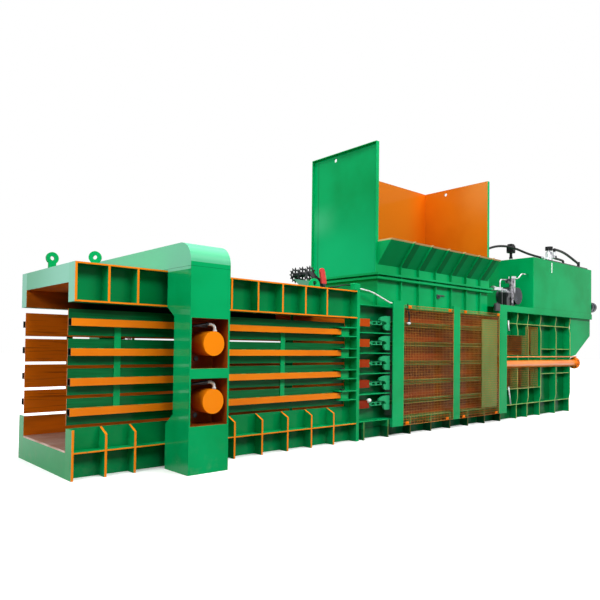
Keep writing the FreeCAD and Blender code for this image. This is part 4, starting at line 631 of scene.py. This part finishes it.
def on_doors(place, facing, colour):
    """Rubbed brown-orange on the bale's side, and painted shade in streaks on the plates between
    the tubes.
    """
    side = place.parts()[1].size()
    inside = 1.0 - side.over(DOOR_FACE - 0.0015)
    plate = 1.0 - side.over(DOOR_FACE + 0.0005)
    rub = place.stretch((0.4, 1.0, 9.0)).noise(6.0, 4.0).ramp(0.5, 0.72)
    streak = place.stretch((0.6, 1.0, 12.0)).noise(5.0, 3.0).ramp(0.3, 0.8)
    # Painted shade on the plates between and under the tubes.
    colour = (plate * (0.95 - streak * 0.25)).mixed(colour, (0.0003, 0.095, 0.022))
    return inside.mixed(colour, rub.mixed(DEEP_ORANGE, BROWN))


def on_tubes(place, facing, colour):
    """Painted shade on the end faces and in the bores, where the open ends are dark inside."""
    _, y, z = place.parts()
    bore = y.size().between((TUBE_Y - TUBE_BORE) / 1000, (TUBE_Y + TUBE_BORE) / 1000)
    dark = (-facing.parts()[0]).over(0.9)
    for middle in TUBE_LEVELS:
        dark = dark + bore * z.between((middle - TUBE_BORE) / 1000, (middle + TUBE_BORE) / 1000)
    return dark.capped().mixed(colour, (0.002, 0.010, 0.005))


door_paint = material("door enamel", enamel(GREEN, DEEP_GREEN, on_doors))
tube_paint = material("orange enamel, tubes", enamel(ORANGE, DEEP_ORANGE, on_tubes))
finish(door_paint, "near_door_panels", "far_door_panels")
finish(tube_paint, "near_door_tubes", "far_door_tubes")
finish(green, "hinge_lugs")
finish(dark_steel, "hinge_pins")
for side, way in (("near", -1), ("far", 1)):
    seams = Build()
    for middle in TUBE_LEVELS:
        for z in (middle - TUBE_HALF, middle + TUBE_HALF):
            for x in range(60, 3100, 190):
                bead(seams, at(x, way * 559, z), at(x + 60, way * 559, z), 0.0028)
    seams.done(side + "_tube_welds", green, body=side + "_door")


# Press body on the threading side: welded steel skin with slots, ribbed band and sill, and the wire
# needles with their chains bolted on. Behind the guards the skin is left in red-brown oxide primer
# with orange overspray, which the wire shows through.
WIRE_Z = 427.5
WIRE_PITCH = 249
GUARD_START = -0.86


def on_body_side(place, facing, colour):
    """Oxide primer behind the guards, with a painted shadow below each rail; painted shade in the
    needle bay and at the foot."""
    x, y, z = place.parts()
    ny = facing.parts()[1]
    near = (-ny).over(0.6)
    wall = near * y.near(-SKIN) * z.between(FLOOR_TOP + 0.001, CEILING - 0.001)
    guarded = wall * x.over(GUARD_START)
    bay = wall * (1.0 - x.over(GUARD_START)) * x.ramp(-1.80, -1.15)
    foot = (1.0 - z.over(0.135)) * x.ramp(-2.6, -0.7) * (1.0 - y.over(-INNER))
    # Painted shadow just below each rail.
    rail_shadow = ((z - WIRE_Z / 1000) * (1000 / WIRE_PITCH)).math("FRACT").ramp(0.55, 0.85)
    low_edge = near * (1.0 - y.over(0.0015 - OUTER)) * (1.0 - z.over(0.217))
    inside = (1.0 - y.size().over(INNER + 0.0015)) * ny.size().over(0.6)
    bands = place.stretch((0.3, 1.0, 5.0)).noise(4.0, 4.0).ramp(0.35, 0.68)
    oxide = bands.mixed((0.34, 0.045, 0.008), (0.07, 0.013, 0.004))
    colour = inside.mixed(colour, BROWN)
    colour = guarded.mixed(colour, (rail_shadow * 0.6).mixed(oxide, (0.015, 0.006, 0.003)))
    # Painted shade in the needle bay.
    colour = (bay * 0.85).mixed(colour, (0.0, 0.040, 0.014))
    # Painted shade at the foot.
    colour = (foot * 0.9).mixed(colour, (0.0, 0.030, 0.010))
    return (low_edge * 0.3).mixed(colour, (0.30, 0.16, 0.02))


def on_needles(place, facing, colour):
    """The heads are darker lower down."""
    return (1.0 - place.parts()[2].ramp(0.35, 1.6)).mixed(colour, (0.24, 0.018, 0.004))


body_paint = enamel(GREEN, DEEP_GREEN, on_body_side)
needle_paint = enamel((0.52, 0.070, 0.003), (0.42, 0.045, 0.003), on_needles, rough=0.35)
light_green = material("pale green enamel", enamel((0.03, 0.42, 0.17), (0.01, 0.32, 0.12)))
olive = material("olive enamel", enamel((0.14, 0.35, 0.10), (0.11, 0.29, 0.08)))
finish(material("green enamel, press body", body_paint), "near_body_side")
finish(ribbed, "far_body_side")
finish(material("needle enamel", needle_paint), "needle_blocks")
finish(light_green, "needle_chains", "needle_guides")
finish(green, "guard_posts")
finish(olive, "needle_rails", "needle_carriage")

PIN_HEAD = [(0.0, 0.010), (0.004, 0.010), (0.006, 0.007)]
chain_pins = Build()
for level in range(5):
    z = WIRE_Z + WIRE_PITCH * level
    for x in (3670, 3760, 3850):
        chain_pins.turned(PIN_HEAD, at(x, -644, z + 21), (0, 0, 1), sides=12)
        chain_pins.turned(PIN_HEAD, at(x, -644, z - 21), (0, 0, -1), sides=12)
    chain_pins.bolt(at(3660, -655, z + 26), (0, -1, 0), 0.007)
    chain_pins.bolt(at(3660, -655, z - 26), (0, -1, 0), 0.007)
chain_pins.done("chain_pin_heads", dark_steel)

needle_cap = Build()
needle_cap.turned([(0.0, 0.024), (0.03, 0.026), (0.05, 0.022), (0.062, 0.012)],
                  at(3600, -655, 463), (1, 0, 0.3))
needle_cap.done("needle_proximity_cap", white, smooth=True)


# Mesh guards: welded wire in a thin wire border, held by bolted clips at the corners between the
# posts. Their orange enamel has gone dull and brown.
GUARDS = ((4228, 5337), (5503, 6572))
GUARD_FOOT, GUARD_HEAD = 130, 1670
GUARD_Y = -711
WIRE_STEP = 34
CLIPS = ((4341, 1650), (5242, 1650), (5630, 1650), (6535, 1650), (4299, 154), (5188, 150),
         (5596, 150), (6484, 150))


def wire_field(build, x0, x1, z0, z1, y, radius):
    """Upright and level wires at one pitch, the level ones behind."""
    count = round((x1 - x0) / WIRE_STEP)
    for i in range(1, count):
        x = x0 + (x1 - x0) * i / count
        build.tube([at(x, y, z0), at(x, y, z1)], radius, sides=4)
    count = round((z1 - z0) / WIRE_STEP)
    behind = y + radius * 1900
    for i in range(1, count):
        z = z0 + (z1 - z0) * i / count
        build.tube([at(x0, behind, z), at(x1, behind, z)], radius, sides=4)


def border(build, x0, x1, z0, z1, y, radius):
    """One wire round the edge of a field."""
    corners = ((x0, z0), (x1, z0), (x1, z1), (x0, z1), (x0, z0))
    build.tube([at(x, y, z) for x, z in corners], radius, sides=6)


def on_wire(place, facing, colour):
    """Brown stains over the orange."""
    stain = place.noise(1.7, 3.0).ramp(0.3, 0.7)
    return (stain * 0.45 + 0.25).mixed(colour, (0.24, 0.055, 0.010))


wire_paint = material("guard wire enamel", enamel((0.78, 0.32, 0.06), (0.62, 0.24, 0.04), on_wire,
                                                  rough=0.3))
guard = Build()
for x0, x1 in GUARDS:
    wire_field(guard, x0, x1, GUARD_FOOT, GUARD_HEAD, GUARD_Y, 0.0020)
    border(guard, x0, x1, GUARD_FOOT, GUARD_HEAD, GUARD_Y, 0.003)
guard.done("guard_mesh", wire_paint, covers=["mesh_guards"])
finish(wire_paint, "mesh_guards")

clips = Build()
for x, z in CLIPS:
    clips.slab(at(x - 28, -723, z - 20), at(x + 28, -713, z + 20))
    clips.slab(at(x - 20, -726, z - 13), at(x + 20, -722, z + 13))
    clips.bolt(at(x, -726, z), (0, -1, 0), 0.011)
clips.done("guard_clips", orange)


# Side cylinder of the threading unit: a chromed rod that pushes the carriage, and an orange barrel
# that runs on along the rear frame with its oil pipe. Its gland is held by eight bolts.
side_paint = enamel(ORANGE, DEEP_ORANGE, rough=0.26, coat=0.1, gloss=0.6)
finish(chrome, "carriage_rod")
finish(material("orange enamel, side cylinder", side_paint), "side_barrel")
BOLT_RING = 85
flange = Build()
for i in range(8):
    a = 2 * math.pi * (i + 0.5) / 8
    spot = at(9372, -644 + BOLT_RING * math.cos(a), 892.5 + BOLT_RING * math.sin(a))
    flange.bolt(spot, (-1, 0, 0), 0.009)
flange.done("cylinder_flange_bolts", dark_steel)


# Rear frame: sides of plate with welded ribs over the main cylinder, screens of the same wire in
# the windows, and the end plate. Rib edges are olive where orange was painted thinly over green,
# ledges are full orange.
LEDGE_EDGE = 0.644
SCREENS = ((6808, 7878, 495, 812), (6808, 7471, 1032, 1342), (7474, 7878, 1032, 1497))
SCREEN_Y = -678


def on_rear_side(place, facing, colour):
    """Olive rib edges, orange ledges, and painted shade on the skin between them, deepest low
    down.
    """
    _, y, z = place.parts()
    side = y.size()
    out = facing.parts()[1].size().over(0.5)
    ledge = side.near(LEDGE_EDGE) * out
    ribs = side.over(LEDGE_EDGE + 0.0015) * out
    top = side.over(OUTER - 0.0015) * z.over(1.775)
    inside = (1.0 - side.over(INNER + 0.0015)) * out
    skin = side.between(0.545, 0.60) * out
    olive = place.noise(5.0, 3.0).ramp(0.3, 0.7).mixed((0.42, 0.47, 0.13), (0.20, 0.42, 0.10))
    colour = inside.mixed(colour, BROWN)
    colour = ribs.mixed(colour, olive)
    # Painted shade on the skin between the ribs, deepest low down.
    colour = (skin * (1.0 - z.ramp(0.2, 1.4) * 0.3)).mixed(colour, (0.0003, 0.125, 0.028))
    return (ledge + top).capped().mixed(colour, ORANGE)


rear_paint = enamel(GREEN, DEEP_GREEN, on_rear_side)
finish(material("green enamel, rear frame", rear_paint), "near_rear_side")
finish(light_green, "rear_end_plate")
windows = Build()
for x0, x1, foot, head in SCREENS:
    wire_field(windows, x0, x1, foot, head, SCREEN_Y, 0.0018)
    border(windows, x0, x1, foot, head, SCREEN_Y, 0.0018)
windows.done("window_wire", wire_paint, covers=["window_mesh"])
finish(wire_paint, "window_mesh")

drain = Build()
drain.tube([at(6867, -700, 1576), at(6877, -700, 1458), at(6890, -700, 1417)], 0.012, sides=10)
drain.tube([at(6883, -700, 525), at(6915, -700, 397), at(6947, -700, 253)], 0.011, sides=10)
drain.done("leak_oil_pipes", white, smooth=True)


# Ram: a box welded from plate, with a face plate that presses the bale, brown with rubbed paint. It
# is pushed by a chromed rod that runs in the orange main cylinder.
finish(material("ram enamel", enamel(BROWN, (0.20, 0.05, 0.006), rough=0.4)), "ram_platen")
finish(chrome, "ram_rod")
finish(orange, "main_barrel")


# Hopper: a neck with ribs and rim, three panels folded from sheet steel, and the front lip. The
# panels stand on the neck's rim. It is green outside and deep orange inside.
LEFT_FACE, RIGHT_FACE, FAR_FACE = -1.272, 1.295, 0.582
PANEL_SLACK = 0.0005
LEFT_OUTSIDE = -1.25
LIP_START = -0.86
LIP_RIB_PITCH = 0.38


def on_hopper(place, facing, colour):
    """Deep orange on the three inner faces, with painted shade on the far panel and into the corner
    and a painted highlight high at the right panel's near end; outside, the left panel has painted
    sheen low down, a painted highlight at half height and painted shade along its folds."""
    x, y, z = place.parts()
    nx, ny, _ = facing.parts()
    exitwards = (-nx).over(0.6)
    left = x.near(LEFT_FACE, PANEL_SLACK) * nx.over(0.6)
    right = x.near(RIGHT_FACE, PANEL_SLACK) * exitwards
    far = y.near(FAR_FACE, PANEL_SLACK) * (-ny).over(0.6)
    deep = place.noise(1.8, 3.0).ramp(0.35, 0.7).mixed((0.66, 0.170, 0.006), (0.60, 0.145, 0.004))
    # Painted shade on the far panel and into the inner corner.
    deep = far.mixed(deep, (0.50, 0.130, 0.006))
    corner = x.ramp(0.75, 1.29) * far + y.ramp(-0.35, 0.58) * right * 0.7
    deep = corner.mixed(deep, (0.62, 0.115, 0.002))
    # Painted highlight high at the right panel's near end.
    top_highlight = right * (1.0 - y.ramp(-0.6, 0.1)) * z.ramp(2.9, 3.7) * 0.6
    deep = top_highlight.mixed(deep, (0.72, 0.28, 0.06))
    outer = exitwards * (1.0 - x.over(LEFT_OUTSIDE))
    # Painted sheen low on the left panel, a painted highlight at half height, painted shade along
    # its folds.
    pale = outer * (1.0 - z.ramp(2.2, 3.3)) * 0.6
    folds = outer * (y.between(0.497, 0.511) + y.between(-0.548, -0.540)) * 0.55
    shine = outer * z.ramp(2.55, 2.85) * (1.0 - z.ramp(2.85, 3.15)) * y.ramp(0.05, 0.50) * 0.30
    colour = pale.mixed(colour, (0.004, 0.52, 0.21))
    colour = folds.mixed(colour, (0.0, 0.10, 0.03))
    colour = shine.mixed(colour, (0.14, 0.60, 0.34))
    return (left + right + far).capped().mixed(colour, deep)


def on_lip(place, facing, colour):
    """Painted shade on its underside and painted shadows beside the ribs, and a pale orange line on
    its top edge.
    """
    x, _, z = place.parts()
    under = (-facing.parts()[2]).over(0.3)
    beside = ((x - (LIP_START + 0.0005)) * (1 / LIP_RIB_PITCH)).math("FRACT")
    rib_shadow = under * (1.0 - beside.ramp(0.40, 0.46)) * x.over(LIP_START)
    # Painted shade on the underside and painted shadows of the ribs.
    colour = (under * 0.45).mixed(colour, (0.0, 0.13, 0.035))
    colour = (rib_shadow * 0.6).mixed(colour, (0.0, 0.055, 0.014))
    return (z.over(2.457) * 0.8).mixed(colour, (0.85, 0.50, 0.24))


hopper_paint = material("hopper enamel", enamel(GREEN, DEEP_GREEN, on_hopper, rough=0.1))
lip_paint = material("lip enamel", enamel(GREEN, DEEP_GREEN, on_lip, rough=0.1))
finish(hopper_paint, "hopper_left_panel", "hopper_right_panel", "hopper_far_panel")
finish(lip_paint, "hopper_lip")
finish(green, "hopper_neck")


# Oil tank: folded plate on the rear frame's deck, with a side beam, a bolted lid on a black seal,
# a sight glass, the filter head with its black cap, and a level valve. A black moulded switch box
# is screwed to the beam's end.
LID_FOOT = 2.67


def on_tank(place, facing, colour):
    """Painted shade in lines along the lower fold and under the lid."""
    _, y, z = place.parts()
    fold = (1.0 - y.over(-0.7065)) * (z.near(1.830, 0.002) + z.between(2.662, 2.665))
    return (fold * 0.5).mixed(colour, (0.0, 0.14, 0.05))


def trim_build(place, facing):
    """Green lid on its black seal, and the pale sight glass on the tank's face."""
    haze = place.noise(14.0, 4.0)
    glass = 1.0 - place.parts()[2].over(LID_FOOT)
    seal = haze.ramp(0.4, 0.7).mixed((0.004, 0.010, 0.007), (0.012, 0.022, 0.016))
    lid = haze.ramp(0.3, 0.75).mixed(GREEN, DEEP_GREEN)
    colour = glass.mixed(facing.parts()[2].over(0.7).mixed(seal, lid), (0.72, 0.84, 0.78))
    return {"Base Color": colour, "Roughness": haze * 0.3 + 0.15}


def cast_build(place, facing):
    """Bare cast alloy, stained."""
    grain = place.noise(160.0, 4.0)
    stain = place.noise(9.0, 4.0).ramp(0.42, 0.7)
    return {"Base Color": stain.mixed((0.66, 0.67, 0.70), (0.20, 0.20, 0.22)), "Metallic": 0.6,
            "Roughness": grain * 0.25 + 0.22, "Normal": grain.relief(0.35, 0.002)}


def on_fittings(place, facing):
    """Cast alloy heads; the valve, the filter's cap and the drain pipe are black."""
    x, _, z = place.parts()
    valve = (1.0 - x.over(2.85)) * z.over(2.70)
    cap = z.over(2.875) * (1.0 - x.over(3.6))
    pipe = x.over(3.45) * (1.0 - z.over(2.80))
    dark = (valve + cap + pipe).capped()
    made = cast_build(place, facing)
    made["Base Color"] = dark.mixed(made["Base Color"], (0.006, 0.006, 0.007))
    made["Metallic"] = (1.0 - dark) * 0.6
    made["Specular IOR Level"] = 0.15
    return made


def black_moulding(place, facing):
    """Black plastic with a fine moulded grain."""
    haze = place.noise(20.0, 3.0).ramp(0.45, 0.7)
    return {"Base Color": haze.mixed((0.012, 0.012, 0.013), (0.04, 0.04, 0.042)),
            "Roughness": haze * 0.2 + 0.35, "Normal": place.noise(500.0, 2.0).relief(0.2, 0.0006)}


black = material("black moulding", black_moulding)
finish(material("green enamel, tank", enamel(GREEN, DEEP_GREEN, on_tank, rough=0.1)), "oil_tank")
finish(green, "tank_support")
finish(material("seal and sight glass", trim_build), "tank_trim")
finish(material("tank fittings", on_fittings), "tank_fittings")
switch = Build()
switch.slab(at(6450, -716, 1712), at(6596, -690, 1826))
switch.slab(at(6460, -719, 1722), at(6586, -715, 1816))
switch.turned([(0.0, 0.012), (0.02, 0.012), (0.022, 0.009)], at(6523, -703, 1826), (0, 0, 1),
              sides=12)
switch.done("beam_end_switch", black)


# Motors and pump set: the pump motor lies across the deck with its fan cover to the threading side,
# the small circulation motor is flanged to the tank's end. They are dark castings with cooling
# fins; the valve column is oily alloy and the inlet cylinder bright.
FAN_X, FAN_Z = 2.177, 1.998
FAN_RINGS = 36.0


def motor_build(place, facing):
    """Dusty dark enamel, with rings of slots in the fan cover."""
    x, _, z = place.parts()
    grain = place.noise(120.0, 3.0)
    dust = place.noise(8.0, 4.0).ramp(0.45, 0.75)
    across, above = x - FAN_X, z - FAN_Z
    ring = ((across * across + above * above).math("SQRT") * FAN_RINGS).math("FRACT")
    slots = ring.ramp(0.42, 0.55) * (1.0 - ring.ramp(0.85, 0.95)) * (-facing.parts()[1]).over(0.8)
    casing = dust.mixed((0.016, 0.020, 0.030), (0.09, 0.10, 0.13))
    return {"Base Color": slots.mixed(casing, (0.006, 0.006, 0.008)), "Metallic": 0.35,
            "Roughness": grain * 0.2 + 0.3, "Normal": grain.relief(0.3, 0.0015)}


def on_pump(place, facing):
    """Bright inlet cylinder and bypass, oily column, dark base and bell housing."""
    x, y, z = place.parts()
    column_foot = x.between(1.95, 2.02) * y.between(-0.65, -0.58)
    dark = (1.0 - z.over(2.035)) * (1.0 - column_foot)
    column = x.between(1.93, 2.04) * (1.0 - z.over(2.32))
    oily = place.noise(24.0, 4.0).ramp(0.40, 0.60).mixed((0.36, 0.34, 0.37), (0.06, 0.06, 0.075))
    made = cast_build(place, facing)
    alloy = column.mixed(made["Base Color"], oily)
    made["Base Color"] = dark.mixed(alloy, (0.016, 0.018, 0.020))
    made["Metallic"] = (1.0 - dark) * 0.6
    return made


finish(material("motor enamel", motor_build), "electric_motors")
finish(material("pump set", on_pump), "pump_set")
finish(chrome, "pump_lever")


# Length wheel above the roof: three spiked discs of dark steel on a fork that swings down through
# the slot. The fork turns between two cheeks on the roof and is lifted by a red hand lever.
def lever_paint(place, facing):
    """Red on the hand lever at the near end of the shaft."""
    _, y, z = place.parts()
    lever = (1.0 - y.over(-0.343)) * z.over(1.88)
    made = dark_steel_build(place, facing)
    made["Base Color"] = lever.mixed(made["Base Color"], (0.62, 0.03, 0.03))
    made["Metallic"] = 0.0
    return made


finish(material("fork and red lever", lever_paint), "wheel_arm")
finish(dark_steel, "measuring_wheel", "wheel_bracket")


# Conduit from the terminal box, the photo sensor on the neck and the lamp at the guard's corner:
# white nylon pipe and black moulded housings on bent brackets. A thin rubber cable lies on the roof
# beside the length wheel.
def on_sensors(place, facing):
    """Black housings; the lamp's globe is white."""
    globe = 1.0 - place.parts()[2].over(1.452)
    made = black_moulding(place, facing)
    made["Base Color"] = globe.mixed(made["Base Color"], (0.85, 0.86, 0.86))
    return made


finish(white, "conduit")
finish(material("sensor and lamp", on_sensors), "sensors")
roof_cable = Build()
roof_cable.tube([at(3000, -560, 1812), at(3073, -635, 1822), at(3150, -632, 1846),
                 at(3227, -615, 1857), at(3310, -600, 1864), at(3390, -575, 1860),
                 at(3480, -560, 1830)], 0.009)
roof_cable.done("roof_cable", hose_rubber, smooth=True)


# Plain pale floor and soft studio light. The floor and the world show white to the camera. The
# machine is lit by a large box overhead, a key from the front and a weaker one on the exit side.
WHITE = (1.0, 1.0, 1.0)
BLACK = (0.0, 0.0, 0.0)
FLOOR_HALF = 60


def backdrop_rays(any_sock):
    """1 on rays from the camera, and on those that gloss and glass send on, else 0."""
    kinds = [any_sock.make("ShaderNodeLightPath", out="Is %s Ray" % kind)
             for kind in ("Camera", "Glossy", "Transmission")]
    return (kinds[0] + kinds[1] + kinds[2]).capped()


def floor_build(place, facing):
    """White to the camera, with the machine's shadow; grey for the light that it throws back."""
    x, y, _ = place.parts()
    cloud = place.noise(0.35, 3.0)
    seen = backdrop_rays(place)
    pale = cloud.ramp(0.3, 0.7).mixed((0.90, 0.90, 0.90), (0.93, 0.93, 0.93))
    away = (x * x * 0.45 + y * y).math("SQRT").ramp(2.0, 9.0)
    lift = away.mixed((0.10, 0.10, 0.10), WHITE)
    return {"Base Color": seen.mixed((0.13, 0.14, 0.13), pale), "Roughness": cloud * 0.1 + 0.8,
            "Emission Color": seen.mixed(BLACK, lift), "Emission Strength": 1.0,
            "Specular IOR Level": 0.0}


ground = bpy.data.meshes.new("floor")
corners = [(-FLOOR_HALF, -FLOOR_HALF, 0), (FLOOR_HALF, -FLOOR_HALF, 0),
           (FLOOR_HALF, FLOOR_HALF, 0), (-FLOOR_HALF, FLOOR_HALF, 0)]
ground.from_pydata(corners, [], [(0, 1, 2, 3)])
ground.materials.append(material("floor", floor_build))
floor = bpy.data.objects.new("floor", ground)
scene.collection.objects.link(floor)

world = bpy.data.worlds.new("studio")
scene.world = world
world.use_nodes = True
backdrop = world.node_tree.nodes["Background"]
sky = Sock(world.node_tree, None)
east, north, up = sky.make("ShaderNodeTexCoord", out="Generated").parts()
behind = (east * 0.5 + north * 0.85).ramp(-0.2, 0.9)
glow = (behind + up.ramp(0.3, 1.0) * 0.4).capped().mixed((0.10, 0.11, 0.11), WHITE)
sky.put(backdrop.inputs["Color"], backdrop_rays(sky).mixed(glow, WHITE))
backdrop.inputs["Strength"].default_value = 1.0


def softbox(name, spot, azimuth, pitch, size, watts):
    """A rectangular lamp."""
    lamp = bpy.data.lights.new(name, "AREA")
    lamp.shape = "RECTANGLE"
    lamp.size, lamp.size_y = size
    lamp.energy = watts
    obj = bpy.data.objects.new(name, lamp)
    scene.collection.objects.link(obj)
    obj.matrix_world = aimed(spot, azimuth, pitch, 0.0)


softbox("overhead", (0.0, -1.0, 9.0), azimuth=0.0, pitch=-89.9, size=(14.0, 6.0), watts=900.0)
softbox("key", (0.0, -10.5, 9.5), azimuth=0.0, pitch=-38.0, size=(13.0, 4.0), watts=1750.0)
softbox("exit side", (-13.0, -3.0, 6.5), azimuth=-80.0, pitch=-20.0, size=(6.0, 4.0), watts=700.0)

scene.view_settings.view_transform = "Standard"
